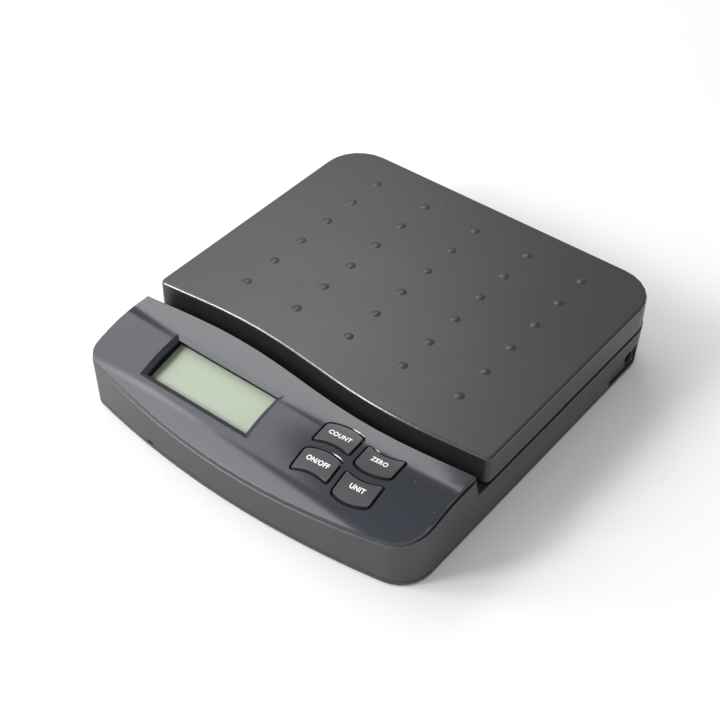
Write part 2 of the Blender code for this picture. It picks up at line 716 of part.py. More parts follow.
# Carrier: a frame with a cross bar under the platform, a pad on the load cell and four pegs.
carrier_centre = (0.0, PLATFORM_CENTRE_Y)
hole_width = CARRIER_WIDTH - 2 * CARRIER_RAIL
hole_depth = (CARRIER_DEPTH - 3 * CARRIER_RAIL) / 2
carrier_holes = [rounded_box((0.0, PLATFORM_CENTRE_Y + side * (hole_depth + CARRIER_RAIL) / 2),
                             hole_width, hole_depth, CARRIER_HOLE_CORNER) for side in (-1, 1)]
carrier = prism("platform_carrier",
                [rounded_box(carrier_centre, CARRIER_WIDTH, CARRIER_DEPTH, CARRIER_RAIL / 2)]
                + carrier_holes, CARRIER_LOW, CARRIER_TOP)
join(carrier, block("carrier_pad",
                    (PAD_INNER_X, PLATFORM_CENTRE_Y - CELL_WIDTH / 2, CELL_TOP + CLEARANCE),
                    (PAD_OUTER_X, PLATFORM_CENTRE_Y + CELL_WIDTH / 2,
                     CARRIER_TOP - CARRIER_THICKNESS / 2)))
join(carrier, rods("carrier_pegs", peg_places, PEG_DIAMETER, CARRIER_LOW + CARRIER_THICKNESS / 2,
                   CARRIER_TOP + PEG_HEIGHT))
free_holes = [(FREE_END_X + side * CELL_HOLE_PITCH / 2, PLATFORM_CENTRE_Y) for side in (-1, 1)]
fixed_holes = [(-x, y) for x, y in free_holes]
CELL_BORE = CELL_SCREW_DIAMETER + 2 * CLEARANCE
cut(carrier, rods("carrier_holes", free_holes, CELL_BORE, CELL_LOW, PLATFORM_TOP))
keep(carrier, SATIN_BLACK, platform_axis)
for number, (x, y) in enumerate(peg_places, start=1):
    inner = PEG_DIAMETER / 2 + CLEARANCE
    outer = inner + GROMMET_WALL
    low = CARRIER_TOP + CLEARANCE
    high = low + PEG_HEIGHT
    grommet = turned(f"platform_grommet_{number}",
                     [(inner, high), (outer, high), (outer, low), (inner, low), (inner, high)], SMALL_STEPS)
    grommet.location = (x, y, 0.0)
    keep(grommet, RUBBER, platform_axis)
for number, (x, y) in enumerate(free_holes, start=1):
    bolt = screw(f"carrier_screw_{number}", CELL_SCREW_DIAMETER,
                 CELL_SCREW_GRIP + CARRIER_TOP - CELL_TOP)
    bolt.rotation_euler.x = math.pi
    bolt.location = (x, y, CARRIER_TOP + CLEARANCE)
    keep(bolt, STEEL, platform_axis)

# Load cell: an aluminium beam with two joined eyes through it, screwed down at one end.
cell = block("load_cell", (-CELL_LENGTH / 2, PLATFORM_CENTRE_Y - CELL_WIDTH / 2, CELL_LOW),
             (CELL_LENGTH / 2, PLATFORM_CENTRE_Y + CELL_WIDTH / 2, CELL_TOP))
eye_gap = math.asin(CELL_SLOT / CELL_EYE_DIAMETER)
eye_loop = arc((CELL_EYE_PITCH / 2, 0.0), CELL_EYE_DIAMETER / 2, math.pi + eye_gap,
               3 * math.pi - eye_gap, SMALL_STEPS)
eye_loop += arc((-CELL_EYE_PITCH / 2, 0.0), CELL_EYE_DIAMETER / 2, eye_gap,
                2 * math.pi - eye_gap, SMALL_STEPS)
eyes = prism("cell_eyes", [eye_loop], -CELL_WIDTH, CELL_WIDTH)
eyes.rotation_euler.x = math.pi / 2
eyes.location = (0.0, PLATFORM_CENTRE_Y, (CELL_LOW + CELL_TOP) / 2)
cut(cell, eyes, rods("cell_holes", free_holes + fixed_holes, CELL_BORE, COVER_LOW, CARRIER_TOP))
keep(cell, ALUMINIUM)
for side, name in ((1, "top"), (-1, "bottom")):
    face = CELL_TOP + CLEARANCE if side > 0 else CELL_LOW - CLEARANCE
    far = face + side * GAUGE_COAT
    coat = block(f"strain_gauge_{name}",
                 (-GAUGE_LENGTH / 2, PLATFORM_CENTRE_Y - GAUGE_WIDTH / 2, min(face, far)),
                 (GAUGE_LENGTH / 2, PLATFORM_CENTRE_Y + GAUGE_WIDTH / 2, max(face, far)))
    round_edges(coat, GAUGE_ROUND, 2,
                lambda edge: abs(edge.verts[0].co.z - edge.verts[1].co.z) > 1e-6)
    keep(coat, SEALANT)

# Bottom cover: a plate with a locating lip, ribs, the load cell's boss and the battery bay.
screw_places = []
for sx in (-1, 1):
    screw_places.append((sx * POST_REAR_X, POST_REAR_Y))
    screw_places.append((sx * POST_SIDE_X, POST_SIDE_Y))
    post_front_y = front_bow(POST_FRONT_X) + BASE_WALL + POST_DIAMETER * POST_WALL_SHARE
    screw_places.append((sx * POST_FRONT_X, post_front_y))
foot_places = [(sx * FOOT_X, y) for sx in (-1, 1) for y in (FOOT_FRONT_Y, FOOT_REAR_Y)]
cover = base_prism("bottom_cover", 0.0, COVER_LOW, COVER_TOP)
lip_outer = BASE_WALL + CLEARANCE
lip_low = COVER_TOP - COVER_THICKNESS / 2
lip = base_prism("cover_lip", lip_outer, lip_low, COVER_TOP + COVER_LIP_HEIGHT)
cut(lip, base_prism("cover_lip_hollow", lip_outer + COVER_LIP_WALL, COVER_LOW, DECK_TOP))
cut(lip, rods("cover_lip_reliefs", screw_places, POST_DIAMETER + 4 * CLEARANCE,
              COVER_TOP + CLEARANCE, DECK_TOP))
jack_width = JACK_BORE + 2 * JACK_NOSE_WALL
JACK_BODY = jack_width + 2 * JACK_NOSE_WALL
jack_centre = (JACK_Y, COVER_TOP + CLEARANCE + JACK_BODY / 2)
wall_inner_x = BASE_WIDTH / 2 - BASE_WALL
cut(lip, block("cover_lip_jack_relief",
               (wall_inner_x - JACK_DEPTH, JACK_Y - JACK_BODY / 2 - 2 * CLEARANCE,
                COVER_TOP + CLEARANCE),
               (BASE_WIDTH, JACK_Y + JACK_BODY / 2 + 2 * CLEARANCE, DECK_TOP)))
join(cover, lip)
bay_outer = rectangle((0.0, BAY_CENTRE_Y), BAY_WIDTH + 2 * BAY_WALL, BAY_DEPTH + 2 * BAY_WALL)
bay_inner = rectangle((0.0, BAY_CENTRE_Y), BAY_WIDTH, BAY_DEPTH)
join(cover, prism("battery_bay", [bay_outer, bay_inner], lip_low, DECK_LOW - CLEARANCE))
join(cover, block("cell_boss", (-PAD_OUTER_X, PLATFORM_CENTRE_Y - CELL_WIDTH / 2, lip_low),
                  (-PAD_INNER_X, PLATFORM_CENTRE_Y + CELL_WIDTH / 2, CELL_LOW - CLEARANCE)))
stop_place = (FREE_END_X, PLATFORM_CENTRE_Y)
STOP_BORE = STOP_DIAMETER + 2 * CLEARANCE
stop_boss_top = COVER_TOP + CELL_BOSS_HEIGHT - STOP_GAP - CLEARANCE
join(cover, rods("stop_boss", [stop_place], STOP_BORE + 2 * BAY_WALL, lip_low, stop_boss_top))
rib_reach = BASE_WIDTH / 2 - lip_outer - COVER_LIP_WALL / 2 - BASE_DRAFT
bay_side = BAY_WIDTH / 2 + BAY_WALL / 2
rib_top = COVER_TOP + COVER_RIB_HEIGHT
join(cover, blocks("cover_ribs", [
    (rib_corner, rib_far) for y in (BAY_CENTRE_Y - BAY_DEPTH / 4, BAY_CENTRE_Y + BAY_DEPTH / 4)
    for rib_corner, rib_far in (
        ((-rib_reach, y - COVER_RIB / 2, lip_low), (-bay_side, y + COVER_RIB / 2, rib_top)),
        ((bay_side, y - COVER_RIB / 2, lip_low), (rib_reach, y + COVER_RIB / 2, rib_top)))]))
cut(cover, prism("door_opening", [bay_inner], 0.0, COVER_TOP + CLEARANCE))
cut(cover, rods("foot_pockets", foot_places, FOOT_DIAMETER + 2 * CLEARANCE, 0.0,
                COVER_LOW + FOOT_POCKET))
CASE_HEAD = CASE_SCREW_DIAMETER * SCREW_HEAD_RATIO
CASE_BORE = CASE_SCREW_DIAMETER + 2 * CLEARANCE
CASE_SEAT = COVER_LOW + CASE_SCREW_SINK
cut(cover, rods("case_screw_holes", screw_places, CASE_BORE, 0.0, COVER_TOP + COVER_LIP_HEIGHT))
cut(cover, rods("case_screw_seats", screw_places, CASE_HEAD + 2 * CLEARANCE, 0.0, CASE_SEAT))
CELL_HEAD = CELL_SCREW_DIAMETER * SCREW_HEAD_RATIO
CELL_SEAT = COVER_TOP + CLEARANCE
cut(cover, rods("cell_screw_holes", fixed_holes, CELL_BORE, 0.0, CELL_TOP))
cut(cover, rods("cell_screw_seats", fixed_holes, CELL_HEAD + 2 * CLEARANCE, 0.0, CELL_SEAT))
cut(cover, rods("stop_hole", [stop_place], STOP_BORE, 0.0, CELL_TOP))
tab_places = [sx * BAY_WIDTH / 4 for sx in (-1, 1)]
SLOT_TOP = COVER_TOP + DOOR_TAB_REACH + DOOR_TAB_THICKNESS + 2 * CLEARANCE
cut(cover, blocks("door_tab_slots", [
    ((x - DOOR_TAB_WIDTH / 2 - CLEARANCE, BAY_REAR_Y - CLEARANCE, COVER_TOP),
     (x + DOOR_TAB_WIDTH / 2 + CLEARANCE, BAY_REAR_Y + BAY_WALL + CLEARANCE, SLOT_TOP))
    for x in tab_places]))
keep(cover, SATIN_BLACK)
for number, (x, y) in enumerate(foot_places, start=1):
    radius = FOOT_DIAMETER / 2
    top = COVER_LOW + FOOT_POCKET - CLEARANCE
    foot = turned(f"rubber_foot_{number}", [(0.0, top), (radius, top), (radius, FOOT_CHAMFER),
                                            (radius - FOOT_CHAMFER, 0.0), (0.0, 0.0)])
    foot.location = (x, y, 0.0)
    keep(foot, RUBBER)
for number, (x, y) in enumerate(screw_places, start=1):
    bolt = screw(f"case_screw_{number}", CASE_SCREW_DIAMETER, CASE_SCREW_GRIP)
    bolt.location = (x, y, CASE_SEAT - CLEARANCE)
    keep(bolt, STEEL)
for number, (x, y) in enumerate(fixed_holes, start=1):
    bolt = screw(f"cell_screw_{number}", CELL_SCREW_DIAMETER, CELL_SCREW_GRIP + CELL_LOW - CELL_SEAT)
    bolt.location = (x, y, CELL_SEAT - CLEARANCE)
    keep(bolt, STEEL)
stop_top = CELL_LOW - STOP_GAP
stop = turned("overload_stop", [(0.0, stop_top), (STOP_DIAMETER / 2 - STOP_CHAMFER, stop_top),
                                (STOP_DIAMETER / 2, stop_top - STOP_CHAMFER),
                                (STOP_DIAMETER / 2, COVER_LOW + CLEARANCE),
                                (0.0, COVER_LOW + CLEARANCE)], SMALL_STEPS)
stop.location = (*stop_place, 0.0)
keep(stop, STEEL)

# Battery door: a flush plate that swings down about its rear lower edge, on two tabs.
DOOR_GAP = CLEARANCE + CLEARANCE / 2
door_rear = BAY_REAR_Y - DOOR_GAP
door_front = BAY_FRONT_Y + DOOR_GAP
door = block("battery_door", (-BAY_WIDTH / 2 + DOOR_GAP, door_front, COVER_LOW),
             (BAY_WIDTH / 2 - DOOR_GAP, door_rear, COVER_TOP))
tab_low = COVER_TOP + CLEARANCE
for x in tab_places:
    step = block(f"door_tab_root_{x:.3f}",
                 (x - DOOR_TAB_WIDTH / 2, door_rear - CONTACT_SPACE / 2,
                  COVER_TOP - COVER_THICKNESS / 2),
                 (x + DOOR_TAB_WIDTH / 2, door_rear, tab_low + DOOR_TAB_THICKNESS))
    tab = block(f"door_tab_{x:.3f}",
                (x - DOOR_TAB_WIDTH / 2, door_rear - CONTACT_SPACE / 4, tab_low),
                (x + DOOR_TAB_WIDTH / 2, door_rear + DOOR_TAB_REACH,
                 tab_low + DOOR_TAB_THICKNESS))
    join(door, step, tab)
grip_centre = (0.0, door_front + DOOR_GRIP_WIDTH / 4)
grip = prism("door_grip", [rounded_box(grip_centre, DOOR_GRIP_WIDTH, DOOR_GRIP_LENGTH, DOOR_GRIP_CORNER)],
             0.0, COVER_LOW + DOOR_GRIP_DEPTH)
cut(door, grip)
door_hinge = axis_empty("door_hinge", (0.0, door_rear, COVER_LOW))
keep(door, SATIN_BLACK, door_hinge)

# Four cells side by side, every second one turned round, with spring plates at both ends.
battery_axis_z = BATTERY_LOW + CLEARANCE + BATTERY_DIAMETER / 2
for number in range(BATTERY_COUNT):
    x = (number - (BATTERY_COUNT - 1) / 2) * BATTERY_PITCH
    radius = BATTERY_DIAMETER / 2
    half = (BATTERY_LENGTH + BATTERY_NUB) / 2
    shoulder = half - BATTERY_NUB
    nub = BATTERY_NUB_DIAMETER / 2
    battery = turned(f"battery_{number + 1}",
                     [(0.0, half), (nub, half), (nub, shoulder), (radius - BATTERY_ROUND, shoulder),
                      (radius, shoulder - BATTERY_ROUND), (radius, BATTERY_ROUND - half),
                      (radius - BATTERY_ROUND, -half), (0.0, -half)], SMALL_STEPS)
    battery.rotation_euler.x = math.pi / 2 * (1 - 2 * (number % 2))
    battery.location = (x, BAY_CENTRE_Y, battery_axis_z)
    keep(battery, BATTERY_JACKET)
contact_low = SLOT_TOP + CLEARANCE
contact_high = DECK_LOW - 2 * CLEARANCE
pair_half = BATTERY_PITCH / 2 + CONTACT_WIDTH / 2
contact_groups = [("front", 1, -BATTERY_PITCH, pair_half), ("front", 2, BATTERY_PITCH, pair_half),
                  ("rear", 1, 0.0, pair_half),
                  ("rear", 2, -1.5 * BATTERY_PITCH, CONTACT_WIDTH / 2),
                  ("rear", 3, 1.5 * BATTERY_PITCH, CONTACT_WIDTH / 2)]
for end, number, x, half in contact_groups:
    side = 1 if end == "rear" else -1
    wall_y = BAY_CENTRE_Y + side * (BAY_DEPTH / 2 - CLEARANCE)
    inner_y = wall_y - side * CONTACT_THICKNESS
    plate = block(f"battery_contact_{end}_{number}",
                  (x - half, min(wall_y, inner_y), contact_low),
                  (x + half, max(wall_y, inner_y), contact_high))
    spots = 2 if half > CONTACT_WIDTH else 1
    for spot in range(spots):
        spot_x = x + (spot - (spots - 1) / 2) * BATTERY_PITCH
        dome_rise = CONTACT_SPACE - CONTACT_THICKNESS - 3 * CLEARANCE
        dome_root = -CONTACT_THICKNESS / 2
        dome = turned(f"contact_dome_{end}_{number}_{spot}",
                      [(0.0, dome_rise), (CONTACT_CROWN / 2, dome_rise * CONTACT_CROWN_SHARE),
                       (CONTACT_DOME / 2, dome_root), (0.0, dome_root)], SMALL_STEPS)
        dome.rotation_euler.x = side * math.pi / 2
        dome.location = (spot_x, inner_y, battery_axis_z)
        join(plate, dome)
    keep(plate, NICKEL)

# Base housing: a drafted wall with a deck under the platform, posts for the screws, the jack's
# recess, and a front whose top follows the panel.
housing = base_prism("base_housing", 0.0, COVER_TOP + CLEARANCE, PLATFORM_TOP)
cut(housing, base_prism("base_hollow", BASE_WALL, COVER_LOW, DECK_LOW))
seam = PANEL_EDGE + CLEARANCE
tongue_inset = BASE_WALL + CLEARANCE + BASE_DRAFT - PANEL_INSET
panel_wall_rear = PANEL_SKIN + CLEARANCE
open_columns = [((x, y), (x, panel_rear(x) - panel_wall_rear)) for x, y in front_line(BASE_WALL)]
cut(housing, wave_block("panel_opening", open_columns, 1, -PLATFORM_TOP, PLATFORM_TOP))
over_columns = [((x, y), (x, panel_rear(x) + CLEARANCE)) for x, y in front_line(-BASE_WALL)]
cut(housing, wave_block("panel_space", over_columns, PANEL_ROWS, -seam, PLATFORM_TOP))
half_out = BASE_WIDTH / 2 + BASE_WALL
rear_steps = [-half_out + 2 * half_out * step / WAVE_STEPS for step in range(WAVE_STEPS + 1)]
rear_loop = [(x, panel_rear(x)) for x in rear_steps]
rear_loop += [(half_out, REAR_Y + BASE_WALL), (-half_out, REAR_Y + BASE_WALL)]
cut(housing, prism("platform_space", [rear_loop], DECK_TOP, PLATFORM_TOP + CLEARANCE))
wall_half = BASE_WIDTH / 2 - PANEL_INSET - tongue_inset + CLEARANCE
slot_steps = [-wall_half + 2 * wall_half * step / WAVE_STEPS for step in range(WAVE_STEPS + 1)]
slot_loop = [(x, panel_rear(x) - panel_wall_rear - BASE_WALL) for x in slot_steps]
slot_loop += [(x, panel_rear(x) + CLEARANCE) for x in reversed(slot_steps)]
cut(housing, prism("panel_wall_slot", [slot_loop], DECK_TOP, PLATFORM_TOP))
for side in (-1, 1):
    wall_x = side * (BASE_WIDTH / 2 - BASE_WALL / 2)
    half_wall = BASE_WALL / 2 - BASE_DRAFT / 4
    shoulder_front = panel_rear(wall_x) - PANEL_SKIN / 2
    shoulder = block(f"shoulder_{side}", (wall_x - half_wall, shoulder_front, DECK_TOP - DECK_THICKNESS / 2),
                     (wall_x + half_wall, panel_rear(wall_x) + BASE_SHOULDER, PANEL_CREST_Z - 2 * seam))
    for vertex in shoulder.data.vertices:
        if vertex.co.z > DECK_TOP and vertex.co.y > shoulder_front + CLEARANCE:
            vertex.co.y = panel_rear(wall_x) + 2 * CLEARANCE
    join(housing, shoulder)
deck_posts = [place_at for place_at in screw_places if place_at[1] > PLATFORM_FRONT_Y]
wall_posts = [place_at for place_at in screw_places if place_at[1] <= PLATFORM_FRONT_Y]
post_low = COVER_TOP + 2 * CLEARANCE
join(housing, rods("deck_posts", deck_posts, POST_DIAMETER, post_low, DECK_LOW + DECK_THICKNESS / 2))
join(housing, rods("wall_posts", wall_posts, POST_DIAMETER, post_low, COVER_TOP + POST_FRONT_HEIGHT))
cut(housing, rods("post_bores", screw_places, CASE_BORE, COVER_LOW,
                  CASE_SEAT + CASE_SCREW_GRIP + 3 * CLEARANCE))
pad_middle = ((PAD_INNER_X + PAD_OUTER_X) / 2, PLATFORM_CENTRE_Y)
pad_opening = rounded_box(pad_middle, PAD_OUTER_X - PAD_INNER_X + 8 * CLEARANCE,
                          CELL_WIDTH + 8 * CLEARANCE, CARRIER_GAP)
cut(housing, prism("carrier_opening", [pad_opening], CELL_LOW, CARRIER_LOW))
recess_low = jack_centre[1] - JACK_RECESS_HEIGHT / 2
recess_x = BASE_WIDTH / 2 - JACK_RECESS_DEPTH - BASE_DRAFT
recess_rear = JACK_Y + JACK_BODY / 2 + CLEARANCE
cut(housing, block("jack_recess", (recess_x, recess_rear - JACK_RECESS_WIDTH, recess_low),
                   (BASE_WIDTH, recess_rear, recess_low + JACK_RECESS_HEIGHT)))
notch_rear = front_bow(NOTCH_X) + BASE_DRAFT + BASE_WALL / 2
cut(housing, block("pry_notch", (NOTCH_X - NOTCH_WIDTH / 2, FRONT_Y - BASE_WALL, COVER_LOW),
                   (NOTCH_X + NOTCH_WIDTH / 2, notch_rear, COVER_TOP + CLEARANCE + NOTCH_HEIGHT)))
NOSE_BORE = jack_width + 2 * CLEARANCE
jack_hole = rods("jack_hole", [(0.0, 0.0)], NOSE_BORE, -BASE_WALL * 4, BASE_WALL * 4)
jack_hole.rotation_euler.y = math.pi / 2
jack_hole.location = (recess_x, *jack_centre)
cut(housing, jack_hole)
keep(housing, SATIN_BLACK)

# Power jack: a moulded block behind the wall with a round nose, a bore and a centre pin.
jack_inner_x = base_side(JACK_Y + JACK_BODY / 2, BASE_WALL) - BASE_DRAFT - 2 * CLEARANCE
jack_half = Vector((JACK_DEPTH / 2, JACK_BODY / 2, JACK_BODY / 2))
jack_middle = Vector((jack_inner_x - JACK_DEPTH / 2, *jack_centre))
jack = block("dc_jack", jack_middle - jack_half, jack_middle + jack_half)
bore_end = jack_inner_x - JACK_DEPTH * JACK_BORE_SHARE
pin_root = jack_inner_x - JACK_DEPTH * JACK_PIN_SHARE
for name, diameter, low, high, operation in (
        ("jack_nose", jack_width, jack_inner_x - JACK_DEPTH / 2, recess_x - CLEARANCE, "UNION"),
        ("jack_bore", JACK_BORE, bore_end, recess_x + BASE_WALL, "DIFFERENCE"),
        ("jack_pin", JACK_PIN, pin_root, recess_x - JACK_BORE / 4, "UNION")):
    tool = rods(name, [(0.0, 0.0)], diameter, -(high - low) / 2, (high - low) / 2)
    tool.rotation_euler.y = math.pi / 2
    tool.location = ((low + high) / 2, *jack_centre)
    boolean(jack, tool, operation)
keep(jack, SWITCH_GREY)

# Control panel: a glossy shell with a rolled edge, a tongue inside the base's wall, a rear wall,
# a bevelled window, four key holes and posts for the board.
panel = wave_block("control_panel", panel_columns(0.0), PANEL_ROWS, -PANEL_EDGE, 0.0)
round_edges(panel, PANEL_EDGE_ROUND, PANEL_EDGE_STEPS,
            lambda edge: edge.calc_face_angle(0.0) > math.radians(50)
            and all(vertex.co.z > panel_height(vertex.co.y) - PANEL_EDGE / 2 for vertex in edge.verts))
tongue = wave_block("panel_tongue", panel_columns(tongue_inset), PANEL_ROWS,
                    -PANEL_EDGE - PANEL_TONGUE, -PANEL_SKIN / 2)
join(panel, tongue)
inside = wall_half - CLEARANCE
wall_steps = [-inside + 2 * inside * step / WAVE_STEPS for step in range(WAVE_STEPS + 1)]
wall_loop = [(x, panel_rear(x) - PANEL_SKIN) for x in wall_steps]
wall_loop += [(x, panel_rear(x) - CLEARANCE / 3) for x in reversed(wall_steps)]
join(panel, prism("panel_rear_wall", [wall_loop], DECK_TOP + CLEARANCE, PANEL_CREST_Z - PANEL_SKIN / 2))
hollow = wave_block("panel_hollow", panel_columns(tongue_inset + PANEL_TONGUE_WALL), PANEL_ROWS,
                    -PLATFORM_TOP, -PANEL_SKIN)
cut(panel, hollow)


def window_columns(grow):
    """The display window's outline at the bottom of its bevel, grown by a share of the bevel."""
    half_x = WINDOW_WIDTH / 2 - WINDOW_SIDE_BEVEL * (1 - grow)
    half_y = WINDOW_DEPTH / 2 - WINDOW_END_BEVEL * (1 - grow)
    steps = [DISPLAY_X - half_x, DISPLAY_X, DISPLAY_X + half_x]
    return [((x, DISPLAY_Y - half_y), (x, DISPLAY_Y + half_y)) for x in steps]


cut(panel, wave_block("window_throat", window_columns(0.0), 1, -2 * PANEL_SKIN, PANEL_SKIN))
cut(panel, wave_block("window_bevel", window_columns(2.0), WINDOW_ROWS, -WINDOW_BEVEL_DEPTH,
                      WINDOW_BEVEL_DEPTH, foot=window_columns(0.0)))
display_centre = (DISPLAY_X, 0.0)
seat = rectangle(display_centre, FRAME_WIDTH + 2 * CLEARANCE, FRAME_DEPTH + 2 * CLEARANCE)
cut(panel, on_frame(prism("display_seat", [seat], BOARD_LOW, FRAME_TOP + CLEARANCE), board_frame))
board_x = BOARD_WIDTH / 2 - BOARD_SCREW_INSET
board_y = BOARD_DEPTH / 2 - BOARD_SCREW_INSET
board_screws = [(sx * board_x, sy * board_y) for sx in (-1, 1) for sy in (-1, 1)]
BOARD_BORE = BOARD_SCREW_DIAMETER + 2 * CLEARANCE
for number, spot in enumerate(board_screws, start=1):
    board_post = rods(f"board_post_{number}", [spot], BOARD_BORE + 2 * PANEL_TONGUE_WALL,
                      BOARD_TOP + CLEARANCE, panel_over(*spot) - PANEL_SKIN + PANEL_POST_ROOT)
    join(panel, on_frame(board_post, board_frame))
post_bores = rods("board_post_bores", board_screws, BOARD_BORE, BOARD_LOW, BOARD_TOP + BOARD_SCREW_GRIP)
cut(panel, on_frame(post_bores, board_frame))
keys = [(column, row) for row in (1, 0) for column in (0, 1)]
for column, row in keys:
    hole_line = key_columns(column, row, KEY_HOLE_GAP)
    rim_line = key_columns(column, row, KEY_HOLE_GAP + 2 * KEY_HOLE_CHAMFER)
    cut(panel, wave_block(f"key_hole_{column}_{row}", hole_line, 1, -2 * PANEL_SKIN, PANEL_SKIN))
    cut(panel, wave_block(f"key_hole_rim_{column}_{row}", rim_line, KEY_ROWS, -KEY_HOLE_CHAMFER,
                          KEY_HOLE_CHAMFER, foot=hole_line))
keep(panel, GLOSS_BLACK)

# Keys: bowed caps that follow the panel, each with a flange below the panel and a stem.
for number, (column, row) in enumerate(keys, start=1):
    flange_top = -PANEL_SKIN - CLEARANCE
    key = wave_block(f"key_{number}", key_columns(column, row, 0.0), KEY_ROWS,
                     flange_top - KEY_FLANGE_THICKNESS / 2, KEY_PROUD)
    round_edges(key, KEY_ROUND, 2, lambda edge: edge.calc_face_angle(0.0) > math.radians(50))
    join(key, wave_block(f"key_flange_{number}", key_columns(column, row, KEY_FLANGE), 1,
                         flange_top - KEY_FLANGE_THICKNESS, flange_top))
    middle_x, middle_y = key_middle(column, row)
    middle = Vector((middle_x, middle_y, panel_height(middle_y) + flange_top))
    local = board_frame.matrix_world.inverted() @ middle
    switch_top = BOARD_TOP + CLEARANCE + SWITCH_HEIGHT
    well_low = switch_top - SWITCH_HEIGHT * SWITCH_WELL_SHARE
    tip = well_low + KEY_TRAVEL + CLEARANCE
    stem = rods(f"key_stem_{number}", [(local.x, local.y)], KEY_STEM_DIAMETER, tip,
                local.z - KEY_FLANGE_THICKNESS / 2, SMALL_STEPS)
    join(key, on_frame(stem, board_frame))
    key_axis = axis_empty(f"key_axis_{number}", middle, PANEL_TILT)
    keep(key, KEY_BLACK, key_axis)
    switch = prism(f"key_switch_{number}", [rectangle((local.x, local.y), SWITCH_SIZE, SWITCH_SIZE)],
                   BOARD_TOP + CLEARANCE, switch_top)
    well = rods(f"switch_well_{number}", [(local.x, local.y)], KEY_STEM_DIAMETER + 2 * KEY_STEM_GAP,
                well_low, switch_top + SWITCH_HEIGHT, SMALL_STEPS)
    cut(switch, on_frame(well, board_frame))
    keep(on_frame(switch, board_frame), SWITCH_GREY)

# Display: glass with a contact ledge, a frame that holds it to the board, and a contact strip.
glass_step = GLASS_LOW + GLASS_THICKNESS / 2
rear_glass = rectangle((DISPLAY_X, GLASS_LEDGE / 2), GLASS_WIDTH, GLASS_DEPTH - GLASS_LEDGE)
glass = prism("lcd_glass", [rear_glass], GLASS_LOW, glass_step + GLASS_THICKNESS / 10)
front_glass = prism("lcd_front_glass", [rectangle(display_centre, GLASS_WIDTH, GLASS_DEPTH)],
                    glass_step, GLASS_TOP)
join(glass, on_frame(front_glass, board_frame))
keep(on_frame(glass, board_frame), LCD_GREEN)
frame_inner_width = GLASS_WIDTH + 2 * CLEARANCE
frame_inner_depth = GLASS_DEPTH + 2 * CLEARANCE
frame_loop = rectangle(display_centre, FRAME_WIDTH, FRAME_DEPTH)
frame = prism("lcd_frame", [frame_loop, rectangle(display_centre, frame_inner_width, frame_inner_depth)],
              BOARD_TOP + CLEARANCE, FRAME_TOP - FRAME_LIP / 2)
lip_opening = rectangle(display_centre, GLASS_WIDTH - 2 * FRAME_LIP_REACH, GLASS_DEPTH - 2 * FRAME_LIP_REACH)
frame_lip = prism("lcd_frame_lip", [frame_loop, lip_opening], FRAME_TOP - FRAME_LIP, FRAME_TOP)
join(frame, on_frame(frame_lip, board_frame))
keep(on_frame(frame, board_frame), FRAME_BLACK)
strip_y = -GLASS_DEPTH / 2 + GLASS_LEDGE / 2
strip = prism("contact_strip", [rectangle((DISPLAY_X, strip_y), GLASS_WIDTH - 2 * STRIP_WIDTH, STRIP_WIDTH)],
              BOARD_TOP + CLEARANCE, glass_step - CLEARANCE)
keep(on_frame(strip, board_frame), STRIP_GREY)

# Circuit board with its screws and the resin-covered chip below it.
board = prism("circuit_board", [rounded_box((0.0, 0.0), BOARD_WIDTH, BOARD_DEPTH, BOARD_THICKNESS)]
              + [ring(spot, BOARD_BORE, SMALL_STEPS) for spot in board_screws], BOARD_LOW, BOARD_TOP)
keep(on_frame(board, board_frame), BOARD_GREEN)
for number, (x, y) in enumerate(board_screws, start=1):
    bolt = screw(f"board_screw_{number}", BOARD_SCREW_DIAMETER, BOARD_SCREW_GRIP)
    bolt.location = (x, y, BOARD_LOW - CLEARANCE)
    keep(on_frame(bolt, board_frame), STEEL)
chip_radius = CHIP_DIAMETER / 2
chip_top = BOARD_LOW - CLEARANCE
chip_side = [(chip_radius * out, chip_top - CHIP_HEIGHT * down) for out, down in CHIP_SIDE_SHARES]
chip = turned("processor_chip", [(0.0, chip_top), (chip_radius, chip_top)] + chip_side
              + [(0.0, chip_top - CHIP_HEIGHT)])
chip.location = (KEY_COLUMN_X, 0.0, 0.0)
keep(on_frame(chip, board_frame), RESIN)
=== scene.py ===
"""Looks of the compact parcel scale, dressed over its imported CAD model."""
import json
import math

import bmesh
import bpy
from mathutils import Matrix, Vector

